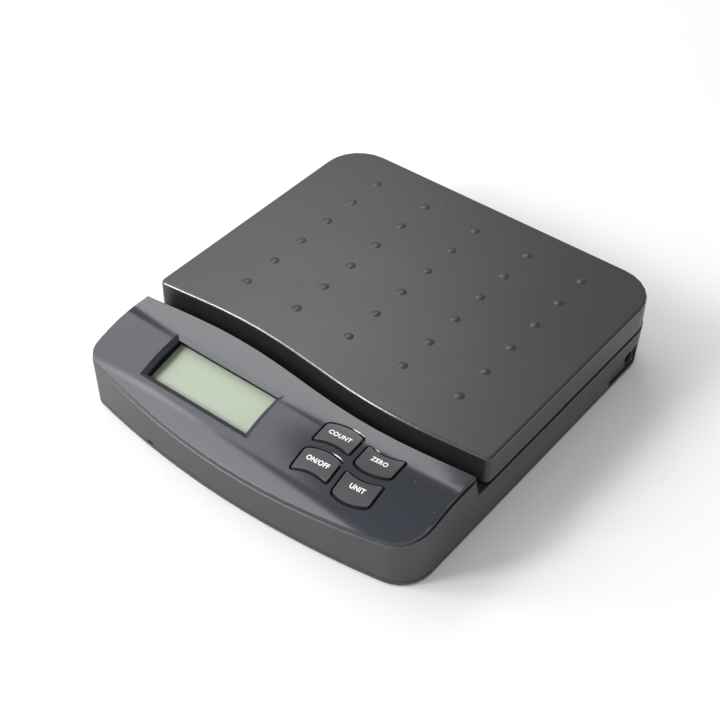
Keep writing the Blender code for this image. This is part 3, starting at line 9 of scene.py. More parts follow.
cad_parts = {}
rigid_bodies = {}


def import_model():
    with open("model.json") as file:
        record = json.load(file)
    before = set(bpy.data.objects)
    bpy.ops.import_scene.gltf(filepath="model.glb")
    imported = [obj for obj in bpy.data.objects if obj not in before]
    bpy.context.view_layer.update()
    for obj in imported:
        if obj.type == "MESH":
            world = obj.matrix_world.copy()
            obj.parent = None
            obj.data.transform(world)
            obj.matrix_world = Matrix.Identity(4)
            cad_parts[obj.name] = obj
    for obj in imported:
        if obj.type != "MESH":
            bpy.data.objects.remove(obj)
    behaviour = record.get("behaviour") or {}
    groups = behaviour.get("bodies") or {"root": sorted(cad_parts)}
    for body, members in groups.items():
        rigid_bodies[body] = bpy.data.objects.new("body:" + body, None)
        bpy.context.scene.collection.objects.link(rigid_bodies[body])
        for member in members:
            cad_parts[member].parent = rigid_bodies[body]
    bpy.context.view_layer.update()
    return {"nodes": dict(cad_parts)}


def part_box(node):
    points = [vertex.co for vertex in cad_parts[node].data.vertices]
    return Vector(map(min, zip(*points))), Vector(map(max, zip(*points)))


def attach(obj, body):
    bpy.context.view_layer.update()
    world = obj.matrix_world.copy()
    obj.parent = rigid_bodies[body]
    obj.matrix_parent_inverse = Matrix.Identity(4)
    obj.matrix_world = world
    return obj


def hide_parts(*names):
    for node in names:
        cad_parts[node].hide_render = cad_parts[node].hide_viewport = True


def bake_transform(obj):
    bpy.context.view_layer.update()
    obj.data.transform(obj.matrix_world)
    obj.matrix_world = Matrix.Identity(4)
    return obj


for stale in list(bpy.data.objects):
    bpy.data.objects.remove(stale, do_unlink=True)

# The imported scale: every moulding, metal piece and fastener arrives as loose triangles.
# Each node is welded and shaded smooth up to a crease, so arcs read as arcs and edges stay crisp.
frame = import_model()
CREASE_ANGLE = math.radians(32)
PANEL_CREASE_ANGLE = math.radians(20)
WELD_DISTANCE = 2e-6


def node_tree(name, kind, inputs, outputs):
    """An empty node group with named sockets, its inlet and its outlet."""
    tree = bpy.data.node_groups.new(name, kind)
    for direction, sockets in (("INPUT", inputs), ("OUTPUT", outputs)):
        for label, socket, value in sockets:
            made = tree.interface.new_socket(label, in_out=direction, socket_type=socket)
            if value is not None:
                made.default_value = value
    return tree, tree.nodes.new("NodeGroupInput"), tree.nodes.new("NodeGroupOutput")


soft_facets, facets_in, facets_out = node_tree(
    "soft_facets", "GeometryNodeTree",
    [("Mesh", "NodeSocketGeometry", None), ("Crease", "NodeSocketFloat", CREASE_ANGLE)],
    [("Mesh", "NodeSocketGeometry", None)])
weld = soft_facets.nodes.new("GeometryNodeMergeByDistance")
weld.inputs["Distance"].default_value = WELD_DISTANCE
bend = soft_facets.nodes.new("GeometryNodeInputMeshEdgeAngle")
sharp = soft_facets.nodes.new("FunctionNodeCompare")
sharp.operation = "GREATER_THAN"
shade = soft_facets.nodes.new("GeometryNodeSetMeshNormal")
shade.mode = "SHARPNESS"
shade.inputs["Remove Custom"].default_value = True
for source, target in ((bend.outputs["Unsigned Angle"], sharp.inputs[0]),
                       (facets_in.outputs["Crease"], sharp.inputs[1]),
                       (facets_in.outputs["Mesh"], weld.inputs["Geometry"]),
                       (weld.outputs[0], shade.inputs["Mesh"]),
                       (sharp.outputs[0], shade.inputs["Edge Sharpness"]),
                       (shade.outputs[0], facets_out.inputs["Mesh"])):
    soft_facets.links.new(source, target)


def group_modifier(node, group, **values):
    """Adds a geometry group to a node, with its own values."""
    added = node.modifiers.new(group.name, "NODES")
    added.node_group = group
    sockets = {item.name: item.identifier
               for item in group.interface.items_tree if item.in_out == "INPUT"}
    for label, value in values.items():
        added[sockets[label]] = value


def smooth_shading(node, crease):
    """Soft facets up to a crease, led by the broad faces."""
    group_modifier(node, soft_facets, Crease=crease)
    node.modifiers.new("broad_faces", "WEIGHTED_NORMAL").keep_sharp = True


for node_name, node in frame["nodes"].items():
    smooth_shading(node, PANEL_CREASE_ANGLE if node_name == "control_panel" else CREASE_ANGLE)

# Bottom cover and battery door: black moulded plates with a fine spark-eroded grain.
# The cover closes the base from below on six screws, and the door hooks in by two tabs.
SATIN_BLACK = (0.024, 0.0245, 0.026)
SATIN_GRAIN_PER_M = 2600
GRAIN_DETAIL = 3.0
GRAIN_RELIEF = 0.0001
CLOUDS_PER_M = 26.0
CLOUD_DETAIL = 4.0
DARK_TONE = 0.85
LIGHT_TONE = 1.25
LESS_ROUGH = 0.04
MORE_ROUGH = 0.05
DUST_GREY = (0.42, 0.41, 0.39)
DUST_CELLS_PER_M = 240.0
SPECK_SHARE = 0.055
EMPTY_SHARE = 0.90
LYING_SLOPE = 0.6


def link_chain(tree, source, *steps):
    """Feeds a socket through Math nodes given as (operation, second value)."""
    for operation, value in steps:
        step = tree.nodes.new("ShaderNodeMath")
        step.operation = operation
        tree.links.new(source, step.inputs[0])
        step.inputs[1].default_value = value
        source = step.outputs[0]
    return source


def link_pair(tree, operation, first, second):
    """Joins two sockets in one Math node."""
    step = tree.nodes.new("ShaderNodeMath")
    step.operation = operation
    tree.links.new(first, step.inputs[0])
    tree.links.new(second, step.inputs[1])
    return step.outputs[0]


moulded_grain, grain_in, grain_out = node_tree(
    "moulded_grain", "ShaderNodeTree", [("Scale", "NodeSocketFloat", SATIN_GRAIN_PER_M)],
    [("Height", "NodeSocketFloat", None), ("Tone", "NodeSocketFloat", None)])
where = moulded_grain.nodes.new("ShaderNodeTexCoord")
pits = moulded_grain.nodes.new("ShaderNodeTexNoise")
pits.inputs["Detail"].default_value = GRAIN_DETAIL
cloud = moulded_grain.nodes.new("ShaderNodeTexNoise")
cloud.inputs["Scale"].default_value = CLOUDS_PER_M
cloud.inputs["Detail"].default_value = CLOUD_DETAIL
for texture in (pits, cloud):
    moulded_grain.links.new(where.outputs["Object"], texture.inputs["Vector"])
moulded_grain.links.new(grain_in.outputs["Scale"], pits.inputs["Scale"])
moulded_grain.links.new(pits.outputs["Fac"], grain_out.inputs["Height"])
moulded_grain.links.new(cloud.outputs["Fac"], grain_out.inputs["Tone"])

settled_dust, dust_in, dust_out = node_tree(
    "settled_dust", "ShaderNodeTree", [("Spread", "NodeSocketFloat", DUST_CELLS_PER_M)],
    [("Mask", "NodeSocketFloat", None)])
where = settled_dust.nodes.new("ShaderNodeTexCoord")
cells = settled_dust.nodes.new("ShaderNodeTexVoronoi")
settled_dust.links.new(where.outputs["Object"], cells.inputs["Vector"])
settled_dust.links.new(dust_in.outputs["Spread"], cells.inputs["Scale"])
speck = link_chain(settled_dust, cells.outputs["Distance"], ("LESS_THAN", SPECK_SHARE))
chosen = settled_dust.nodes.new("ShaderNodeSeparateColor")
settled_dust.links.new(cells.outputs["Color"], chosen.inputs[0])
rare = link_chain(settled_dust, chosen.outputs[0], ("GREATER_THAN", EMPTY_SHARE))
side = settled_dust.nodes.new("ShaderNodeNewGeometry")
upright = settled_dust.nodes.new("ShaderNodeSeparateXYZ")
settled_dust.links.new(side.outputs["Normal"], upright.inputs[0])
above = link_chain(settled_dust, upright.outputs["Z"], ("GREATER_THAN", LYING_SLOPE))
rare_speck = link_pair(settled_dust, "MULTIPLY", speck, rare)
settled_dust.links.new(link_pair(settled_dust, "MULTIPLY", rare_speck, above), dust_out.inputs["Mask"])


def new_material(name):
    """A material, its node tree and its Principled shader."""
    material = bpy.data.materials.new(name)
    material.use_nodes = True
    return material, material.node_tree, material.node_tree.nodes["Principled BSDF"]


def place_group(tree, group, **values):
    """A shader group in a material, with its own values."""
    placed = tree.nodes.new("ShaderNodeGroup")
    placed.node_tree = group
    for label, value in values.items():
        placed.inputs[label].default_value = value
    return placed.outputs


def spread(tree, source, low, high):
    """Turns a 0 to 1 value into one between two limits."""
    mapped = tree.nodes.new("ShaderNodeMapRange")
    mapped.inputs["To Min"].default_value = low
    mapped.inputs["To Max"].default_value = high
    tree.links.new(source, mapped.inputs["Value"])
    return mapped.outputs[0]


def two_tone(tree, mask, first, second):
    """A colour that goes from the first to the second with a mask; the first may be a socket."""
    mix = tree.nodes.new("ShaderNodeMix")
    mix.data_type = "RGBA"
    if isinstance(first, tuple):
        mix.inputs["A"].default_value = (*first, 1.0)
    else:
        tree.links.new(first, mix.inputs["A"])
    mix.inputs["B"].default_value = (*second, 1.0)
    tree.links.new(mask, mix.inputs["Factor"])
    return mix.outputs["Result"]


def bump(tree, shader, height, depth, relief_height=GRAIN_RELIEF):
    """Relief on a shader's normal."""
    relief = tree.nodes.new("ShaderNodeBump")
    relief.inputs["Strength"].default_value = depth
    relief.inputs["Distance"].default_value = relief_height
    tree.links.new(height, relief.inputs["Height"])
    tree.links.new(relief.outputs["Normal"], shader.inputs["Normal"])


def moulded_plastic(name, colour, roughness, grain, depth, dust=0.0, sheen=0.5):
    """Injection-moulded plastic: toned colour, uneven sheen, fine grain and a little dust."""
    material, tree, shader = new_material(name)
    shader.inputs["Specular IOR Level"].default_value = sheen
    surface = place_group(tree, moulded_grain, Scale=grain)
    darker = tuple(part * DARK_TONE for part in colour)
    lighter = tuple(min(1.0, part * LIGHT_TONE) for part in colour)
    toned = two_tone(tree, surface["Tone"], darker, lighter)
    if dust:
        mask = link_chain(tree, place_group(tree, settled_dust)["Mask"], ("MULTIPLY", dust))
        toned = two_tone(tree, mask, toned, DUST_GREY)
    tree.links.new(toned, shader.inputs["Base Color"])
    uneven = spread(tree, surface["Tone"], roughness - LESS_ROUGH, roughness + MORE_ROUGH)
    tree.links.new(uneven, shader.inputs["Roughness"])
    bump(tree, shader, surface["Height"], depth)
    return material


def finish_nodes(material, *names):
    """Gives CAD nodes their material."""
    for name in names:
        frame["nodes"][name].data.materials.clear()
        frame["nodes"][name].data.materials.append(material)


satin_black = moulded_plastic("satin_black", SATIN_BLACK, roughness=0.40, grain=SATIN_GRAIN_PER_M,
                              depth=0.10, dust=0.5, sheen=0.62)
finish_nodes(satin_black, "bottom_cover", "battery_door")

# Rubber feet: four matt black discs of moulded rubber.
# They are pressed into round pockets of the cover.
FOOT_BLACK = (0.030, 0.030, 0.031)
foot_rubber = moulded_plastic("foot_rubber", FOOT_BLACK, roughness=0.78, grain=1500, depth=0.25)
finish_nodes(foot_rubber, *(f"rubber_foot_{number}" for number in range(1, 5)))

# Case and load cell screws: zinc-plated pan heads with a cross recess, sunk in the cover.
# Each is turned from its own box, so it sits where its plain CAD screw sits.
ZINC_GREY = (0.62, 0.61, 0.60)
ZINC_LINES_PER_M = (900.0, 900.0, 900.0)
TOOL_LINES_PER_M = (40.0, 40.0, 2500.0)
TOOL_LINE_DETAIL = 4.0
METAL_PATCHES_PER_M = 160.0
METAL_DARK_TONE = 0.82
METAL_LESS_ROUGH = 0.08
METAL_MORE_ROUGH = 0.10
HEAD_PER_SHANK = 1.8
HEAD_RISE_PER_SHANK = 0.8
HEAD_SHARES = ((1.0, 0.55), (0.93, 0.2), (0.72, 0.0))
SHANK_TIP_SHARE = 0.8
THREAD_ROOT_SHARE = 0.86
THREAD_STEPS = 24
CROSS_WIDTH_SHARE = 0.20
CROSS_LENGTH_SHARE = 0.62
CROSS_DEPTH_SHARE = 0.55
CROSS_TURN_PER_M = 40
SCREW_STEPS = 28
TURNED_WELD = 1e-7
machined_lines, lines_in, lines_out = node_tree(
    "machined_lines", "ShaderNodeTree", [("Scale", "NodeSocketVector", TOOL_LINES_PER_M)],
    [("Height", "NodeSocketFloat", None), ("Tone", "NodeSocketFloat", None)])
where = machined_lines.nodes.new("ShaderNodeTexCoord")
drawn_out = machined_lines.nodes.new("ShaderNodeVectorMath")
drawn_out.operation = "MULTIPLY"
streaks = machined_lines.nodes.new("ShaderNodeTexNoise")
streaks.inputs["Scale"].default_value = 1.0
streaks.inputs["Detail"].default_value = TOOL_LINE_DETAIL
patches = machined_lines.nodes.new("ShaderNodeTexNoise")
patches.inputs["Scale"].default_value = METAL_PATCHES_PER_M
machined_lines.links.new(where.outputs["Object"], drawn_out.inputs[0])
machined_lines.links.new(lines_in.outputs["Scale"], drawn_out.inputs[1])
machined_lines.links.new(drawn_out.outputs[0], streaks.inputs["Vector"])
machined_lines.links.new(where.outputs["Object"], patches.inputs["Vector"])
machined_lines.links.new(streaks.outputs["Fac"], lines_out.inputs["Height"])
machined_lines.links.new(patches.outputs["Fac"], lines_out.inputs["Tone"])


def bare_metal(name, colour, roughness, lines, depth):
    """Metal with tool marks: streaked relief and a patchy sheen."""
    material, tree, shader = new_material(name)
    surface = place_group(tree, machined_lines, Scale=lines)
    shader.inputs["Metallic"].default_value = 1.0
    darker = tuple(part * METAL_DARK_TONE for part in colour)
    tree.links.new(two_tone(tree, surface["Tone"], darker, colour), shader.inputs["Base Color"])
    uneven = spread(tree, surface["Height"], roughness - METAL_LESS_ROUGH, roughness + METAL_MORE_ROUGH)
    tree.links.new(uneven, shader.inputs["Roughness"])
    bump(tree, shader, surface["Height"], depth)
    return material


def new_object(name, data):
    """An object in the scene."""
    made = bpy.data.objects.new(name, data)
    bpy.context.scene.collection.objects.link(made)
    return made


def spin_profile(name, profile, steps):
    """A closed body turned about Z from (radius, height) points."""
    work = bmesh.new()
    rail = [work.verts.new((radius, 0.0, height)) for radius, height in profile]
    edges = [work.edges.new(pair) for pair in zip(rail, rail[1:])]
    bmesh.ops.spin(work, geom=rail + edges, cent=(0, 0, 0), axis=(0, 0, 1), angle=math.tau, steps=steps)
    bmesh.ops.remove_doubles(work, verts=work.verts, dist=TURNED_WELD)
    bmesh.ops.recalc_face_normals(work, faces=work.faces)
    mesh = bpy.data.meshes.new(name)
    work.to_mesh(mesh)
    work.free()
    return mesh


def add_piece(name, mesh, material):
    """A new visible piece with its material."""
    piece = new_object(name, mesh)
    mesh.materials.clear()
    mesh.materials.append(material)
    return piece


def final_mesh(node):
    """A node's mesh as its modifiers or its letters leave it."""
    bpy.context.view_layer.update()
    return bpy.data.meshes.new_from_object(node.evaluated_get(bpy.context.evaluated_depsgraph_get()))


def boolean_cut(piece, cutter):
    """Cuts one mesh by another for good and removes the cutter."""
    change = piece.modifiers.new("cut", "BOOLEAN")
    change.solver = "EXACT"
    change.object = cutter
    done = final_mesh(piece)
    piece.modifiers.remove(change)
    piece.data = done
    bpy.data.objects.remove(cutter, do_unlink=True)


def cross_arm(length, width, depth, turn, height):
    """A box that cuts one arm of a cross recess."""
    place = Matrix.Translation((0, 0, height)) @ Matrix.Rotation(turn, 4, "Z")
    work = bmesh.new()
    bmesh.ops.create_cube(work, size=1.0, matrix=place @ Matrix.Diagonal((length, width, depth, 1.0)))
    mesh = bpy.data.meshes.new("cross_arm")
    work.to_mesh(mesh)
    work.free()
    return new_object("cross_arm", mesh)


zinc_steel = bare_metal("zinc_steel", ZINC_GREY, roughness=0.34, lines=ZINC_LINES_PER_M, depth=0.12)
for screw_name in [f"case_screw_{number}" for number in range(1, 7)] + ["cell_screw_1", "cell_screw_2"]:
    low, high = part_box(screw_name)
    middle = (low + high) / 2
    head = (high.x - low.x) / 2
    shank = head / HEAD_PER_SHANK
    rise = shank * HEAD_RISE_PER_SHANK
    head_top = low.z + rise
    tip = [(0.0, high.z), (shank * SHANK_TIP_SHARE, high.z)]
    thread = [(shank * (1.0 if step % 2 else THREAD_ROOT_SHARE),
               high.z - (high.z - head_top) * step / THREAD_STEPS) for step in range(1, THREAD_STEPS)]
    dome = [(head * across, low.z + rise * up) for across, up in HEAD_SHARES]
    profile = [*tip, *thread, (shank, head_top), (head, head_top), *dome, (0.0, low.z)]
    body_mesh = spin_profile(screw_name + "_turned", profile, SCREW_STEPS)
    screw_piece = add_piece(screw_name + "_cross", body_mesh, zinc_steel)
    for turn in (0.0, math.pi / 2):
        boolean_cut(screw_piece, cross_arm(2 * head * CROSS_LENGTH_SHARE, 2 * head * CROSS_WIDTH_SHARE,
                                           2 * rise * CROSS_DEPTH_SHARE,
                                           turn + middle.x * CROSS_TURN_PER_M, low.z))
    screw_piece.data.shade_smooth()
    screw_piece.data.set_sharp_from_angle(angle=CREASE_ANGLE)
    screw_piece.location = (middle.x, middle.y, 0.0)
    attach(screw_piece, "base_body")
    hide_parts(screw_name)

# Batteries and their contacts: four plain sleeved cells, every second one turned round.
# Nickel-plated spring plates stand in the bay's end walls and touch the bare cell ends.
JACKET_BLUE = (0.020, 0.050, 0.150)
BAND_GREY = (0.42, 0.43, 0.45)
CELL_END_STEEL = (0.70, 0.69, 0.66)
BARE_END_FROM = 0.478
BAND_FROM = 0.36
SLEEVE_ROUGHNESS = (0.22, 0.34)
NICKEL_WARM = (0.72, 0.69, 0.62)
NICKEL_LINES_PER_M = (60.0, 60.0, 1800.0)


def from_middle(tree, axis):
    """Distance from the middle of a piece's box along one axis, 0.5 at both ends."""
    place = tree.nodes.new("ShaderNodeTexCoord")
    split = tree.nodes.new("ShaderNodeSeparateXYZ")
    tree.links.new(place.outputs["Generated"], split.inputs[0])
    return link_chain(tree, split.outputs[axis], ("SUBTRACT", 0.5), ("ABSOLUTE", 0.0))


sleeve, tree, shader = new_material("battery_sleeve")
surface = place_group(tree, moulded_grain, Scale=900.0)
off_middle = from_middle(tree, "Y")
bare_end = link_chain(tree, off_middle, ("GREATER_THAN", BARE_END_FROM))
band = link_chain(tree, off_middle, ("GREATER_THAN", BAND_FROM))
banded = two_tone(tree, band, JACKET_BLUE, BAND_GREY)
tree.links.new(two_tone(tree, bare_end, banded, CELL_END_STEEL), shader.inputs["Base Color"])
tree.links.new(bare_end, shader.inputs["Metallic"])
tree.links.new(spread(tree, surface["Tone"], *SLEEVE_ROUGHNESS), shader.inputs["Roughness"])
bump(tree, shader, surface["Height"], depth=0.05)
finish_nodes(sleeve, *(f"battery_{number}" for number in range(1, 5)))
nickel = bare_metal("nickel_plate", NICKEL_WARM, roughness=0.26, lines=NICKEL_LINES_PER_M, depth=0.10)
finish_nodes(nickel, *(f"battery_contact_front_{number}" for number in (1, 2)),
             *(f"battery_contact_rear_{number}" for number in (1, 2, 3)))

# Load cell and carrier: a milled aluminium beam under white sealant, bolted to the cover.
# The ribbed carrier on its free end lifts the platform on four pegs with rubber grommets.
# The beam and its gauges bend over the joined eyes under load; here they are welded, soft-shaded copies
# of their nodes, left unbent.
ALUMINIUM = (0.80, 0.81, 0.82)
MILLED_LINES_PER_M = (40.0, 900.0, 900.0)
SEALANT_WHITE = (0.80, 0.80, 0.76)
GROMMET_BLACK = (0.050, 0.050, 0.052)
milled = bare_metal("milled_aluminium", ALUMINIUM, roughness=0.32, lines=MILLED_LINES_PER_M, depth=0.15)
sealant = moulded_plastic("silicone_sealant", SEALANT_WHITE, roughness=0.50, grain=420, depth=0.5)


def welded_copy(node_name):
    """A copy of a node's mesh with its loose triangles joined."""
    mesh = frame["nodes"][node_name].data.copy()
    work = bmesh.new()
    work.from_mesh(mesh)
    bmesh.ops.remove_doubles(work, verts=work.verts, dist=WELD_DISTANCE)
    work.to_mesh(mesh)
    work.free()
    return mesh


for node_name, finish, slot_name in (("load_cell", milled, "cell_aluminium"),
                                     ("strain_gauge_top", sealant, "gauge_sealant"),
                                     ("strain_gauge_bottom", sealant, "gauge_sealant")):
    bending = add_piece(node_name + "_bending", welded_copy(node_name), finish)
    group_modifier(bending, soft_facets, Crease=CREASE_ANGLE)
    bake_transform(bending)
    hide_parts(node_name)
finish_nodes(satin_black, "platform_carrier")
finish_nodes(zinc_steel, "carrier_screw_1", "carrier_screw_2", "overload_stop",
             *(f"board_screw_{number}" for number in range(1, 5)))
grommet_rubber = moulded_plastic("grommet_rubber", GROMMET_BLACK, roughness=0.70, grain=1200, depth=0.2)
finish_nodes(grommet_rubber, *(f"platform_grommet_{number}" for number in range(1, 5)))

# Base housing: the black moulded tub with its drafted wall, deck and jack recess.
# It is pulled down onto the cover and has the same fine grain.
finish_nodes(satin_black, "base_housing")

# Power jack: a dark moulded socket behind the side wall with a nickel centre pin.
# The pin is picked out by its distance from the bore's axis.
PIN_REACH = 0.115
JACK_BLACK = (0.030, 0.030, 0.032)
PIN_NICKEL = (0.74, 0.71, 0.64)
JACK_ROUGHNESS = (0.28, 0.42)
socket_finish, tree, shader = new_material("jack_socket")
surface = place_group(tree, moulded_grain, Scale=1800.0)
spot = tree.nodes.new("ShaderNodeTexCoord")
across_bore = tree.nodes.new("ShaderNodeVectorMath")
across_bore.operation = "MULTIPLY_ADD"
across_bore.inputs[1].default_value = (0.0, 1.0, 1.0)
across_bore.inputs[2].default_value = (0.0, -0.5, -0.5)
reach = tree.nodes.new("ShaderNodeVectorMath")
reach.operation = "LENGTH"
tree.links.new(spot.outputs["Generated"], across_bore.inputs[0])
tree.links.new(across_bore.outputs[0], reach.inputs[0])
pin = link_chain(tree, reach.outputs["Value"], ("LESS_THAN", PIN_REACH))
tree.links.new(two_tone(tree, pin, JACK_BLACK, PIN_NICKEL), shader.inputs["Base Color"])
tree.links.new(pin, shader.inputs["Metallic"])
tree.links.new(spread(tree, surface["Tone"], *JACK_ROUGHNESS), shader.inputs["Roughness"])
bump(tree, shader, surface["Height"], depth=0.08)
finish_nodes(socket_finish, "dc_jack")

# Circuit board group: green laminate with copper runs, switches, a resin drop and the strip.
# It hangs under the panel on four posts and carries the display frame.
BOARD_GREENS = {"Color1": (0.020, 0.120, 0.045), "Color2": (0.024, 0.140, 0.052),
                "Mortar": (0.060, 0.260, 0.090)}
BOARD_ROUGHNESS = (0.30, 0.42)
RUNS_PER_M = 260.0
RUN_WIDTH_SHARE = 0.03
SWITCH_GREY = (0.085, 0.085, 0.090)
RESIN_BLACK = (0.012, 0.012, 0.013)
STRIP_GREY = (0.20, 0.20, 0.22)
# Black plastic, partly painted shade: the frame is darker than the other mouldings to stand in for the
# shade of the window throat.
FRAME_BLACK_AND_THROAT_SHADE = (0.006, 0.006, 0.007)
laminate, tree, shader = new_material("board_laminate")
surface = place_group(tree, moulded_grain, Scale=700.0)
runs = tree.nodes.new("ShaderNodeTexBrick")
runs.inputs["Scale"].default_value = RUNS_PER_M
runs.inputs["Mortar Size"].default_value = RUN_WIDTH_SHARE
for label, green in BOARD_GREENS.items():
    runs.inputs[label].default_value = (*green, 1.0)
board_spot = tree.nodes.new("ShaderNodeTexCoord")
tree.links.new(board_spot.outputs["Object"], runs.inputs["Vector"])
tree.links.new(runs.outputs["Color"], shader.inputs["Base Color"])
tree.links.new(spread(tree, surface["Tone"], *BOARD_ROUGHNESS), shader.inputs["Roughness"])
bump(tree, shader, surface["Height"], depth=0.06)
finish_nodes(laminate, "circuit_board")
switch_plastic = moulded_plastic("switch_plastic", SWITCH_GREY, roughness=0.45, grain=1600, depth=0.1)
finish_nodes(switch_plastic, *(f"key_switch_{number}" for number in range(1, 5)))
resin = moulded_plastic("chip_resin", RESIN_BLACK, roughness=0.28, grain=300, depth=0.2)
finish_nodes(resin, "processor_chip")
strip_rubber = moulded_plastic("strip_rubber", STRIP_GREY, roughness=0.62, grain=2000, depth=0.1)
finish_nodes(strip_rubber, "contact_strip")
# The display frame's near-black is partly its own black plastic and partly painted shade for the deep
# window throat round the display.
frame_plastic_and_throat_shade = moulded_plastic("display_frame_and_throat_shade", FRAME_BLACK_AND_THROAT_SHADE, roughness=0.55, grain=2000, depth=0.1,
                                sheen=0.2)
finish_nodes(frame_plastic_and_throat_shade, "lcd_frame")

# Display: a blank reflective liquid-crystal cell, pale green-grey under a matt polariser film.
# The film is painted a touch darker towards its two ends: painted shade from the window's rim.
LCD_PALE = (0.350, 0.402, 0.314)
# Painted shade: the film's colour near its two ends, darker where the window's rim shades it.
LCD_EDGE_SHADE = (0.311, 0.368, 0.281)
LCD_ROUGHNESS = (0.30, 0.38)
EDGE_SHADE_POWER = 5.0
EDGE_SHADE_STRENGTH = 30.0
film, tree, shader = new_material("display_film")
surface = place_group(tree, moulded_grain, Scale=5200.0)
# Painted shade: the film darkens steeply towards its two ends.
painted_edge_shade = link_chain(tree, from_middle(tree, "X"), ("POWER", EDGE_SHADE_POWER),
                       ("MULTIPLY", EDGE_SHADE_STRENGTH))
tree.links.new(two_tone(tree, painted_edge_shade, LCD_PALE, LCD_EDGE_SHADE), shader.inputs["Base Color"])
tree.links.new(spread(tree, surface["Tone"], *LCD_ROUGHNESS), shader.inputs["Roughness"])
bump(tree, shader, surface["Height"], depth=0.03)
finish_nodes(film, "lcd_glass")

# Control panel: one polished black moulding that rolls over to the front, clipped into the base.
# Its normals follow the roll exactly, so reflections run unbroken round the window and the keys.
GLOSS_BLACK = (0.018, 0.020, 0.029)
GLOSS_ROUGHNESS = (0.07, 0.14)
GLOSS_WAVES_PER_M = 38.0
GLOSS_WAVE_RELIEF = 0.0006
PANEL_DUST = 0.45
PANEL_DUST_CELLS_PER_M = 330.0
PANEL_CREST_Y = -0.0580
PANEL_CREST_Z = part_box("control_panel")[1].z
PANEL_ROLL_RADIUS = 0.0700
PANEL_ROLL_Z = PANEL_CREST_Z - PANEL_ROLL_RADIUS
ROLL_TOLERANCE = 0.00015
ROLL_FACING = 0.985


def panel_height(y):
    """Height of the panel's top: level behind its crest, then an arc that falls to the front."""
    past = max(PANEL_CREST_Y - y, 0.0)
    return PANEL_ROLL_Z + math.sqrt(PANEL_ROLL_RADIUS ** 2 - past ** 2)


rolled_top, roll_in, roll_out = node_tree(
    "rolled_top", "GeometryNodeTree",
    [("Mesh", "NodeSocketGeometry", None), ("Rise", "NodeSocketFloat", 0.0)],
    [("Mesh", "NodeSocketGeometry", None)])


def roll_math(operation, first, second=None):
    """A Math node of the rolled-top group, fed by sockets or plain numbers."""
    step = rolled_top.nodes.new("ShaderNodeMath")
    step.operation = operation
    for slot_number, value in enumerate((first, second)):
        if isinstance(value, (int, float)):
            step.inputs[slot_number].default_value = value
        elif value is not None:
            rolled_top.links.new(value, step.inputs[slot_number])
    return step.outputs[0]


point = rolled_top.nodes.new("ShaderNodeSeparateXYZ")
rolled_top.links.new(rolled_top.nodes.new("GeometryNodeInputPosition").outputs[0], point.inputs[0])
past = roll_math("MAXIMUM", roll_math("SUBTRACT", PANEL_CREST_Y, point.outputs["Y"]), 0.0)
drop = roll_math("SQRT", roll_math("SUBTRACT", PANEL_ROLL_RADIUS ** 2, roll_math("POWER", past, 2.0)))
surface_z = roll_math("ADD", roll_math("ADD", drop, PANEL_ROLL_Z), roll_in.outputs["Rise"])
miss = roll_math("ABSOLUTE", roll_math("SUBTRACT", point.outputs["Z"], surface_z))
true_normal = rolled_top.nodes.new("ShaderNodeCombineXYZ")
rolled_top.links.new(roll_math("DIVIDE", past, -PANEL_ROLL_RADIUS), true_normal.inputs["Y"])
rolled_top.links.new(roll_math("DIVIDE", drop, PANEL_ROLL_RADIUS), true_normal.inputs["Z"])
facing = rolled_top.nodes.new("ShaderNodeVectorMath")
facing.operation = "DOT_PRODUCT"
found_normal = rolled_top.nodes.new("GeometryNodeInputNormal")
rolled_top.links.new(found_normal.outputs["True Normal"], facing.inputs[0])
rolled_top.links.new(true_normal.outputs[0], facing.inputs[1])
on_top = roll_math("MULTIPLY", roll_math("LESS_THAN", miss, ROLL_TOLERANCE),
                   roll_math("GREATER_THAN", facing.outputs["Value"], ROLL_FACING))
pick = rolled_top.nodes.new("GeometryNodeSwitch")
pick.input_type = "VECTOR"
rolled_top.links.new(on_top, pick.inputs["Switch"])
rolled_top.links.new(found_normal.outputs["Normal"], pick.inputs["False"])
rolled_top.links.new(true_normal.outputs[0], pick.inputs["True"])
follow = rolled_top.nodes.new("GeometryNodeSetMeshNormal")
follow.mode = "FREE"
follow.domain = "CORNER"
rolled_top.links.new(roll_in.outputs["Mesh"], follow.inputs["Mesh"])
rolled_top.links.new(pick.outputs[0], follow.inputs["Custom Normal"])
rolled_top.links.new(follow.outputs[0], roll_out.inputs[0])

polished, tree, shader = new_material("polished_black")
surface = place_group(tree, moulded_grain, Scale=GLOSS_WAVES_PER_M)
panel_dust = place_group(tree, settled_dust, Spread=PANEL_DUST_CELLS_PER_M)
dust_mask = link_chain(tree, panel_dust["Mask"], ("MULTIPLY", PANEL_DUST))
tree.links.new(two_tone(tree, dust_mask, GLOSS_BLACK, DUST_GREY), shader.inputs["Base Color"])
tree.links.new(spread(tree, surface["Tone"], *GLOSS_ROUGHNESS), shader.inputs["Roughness"])
bump(tree, shader, surface["Height"], depth=0.05, relief_height=GLOSS_WAVE_RELIEF)
finish_nodes(polished, "control_panel")
group_modifier(frame["nodes"]["control_panel"], rolled_top, Rise=0.0)

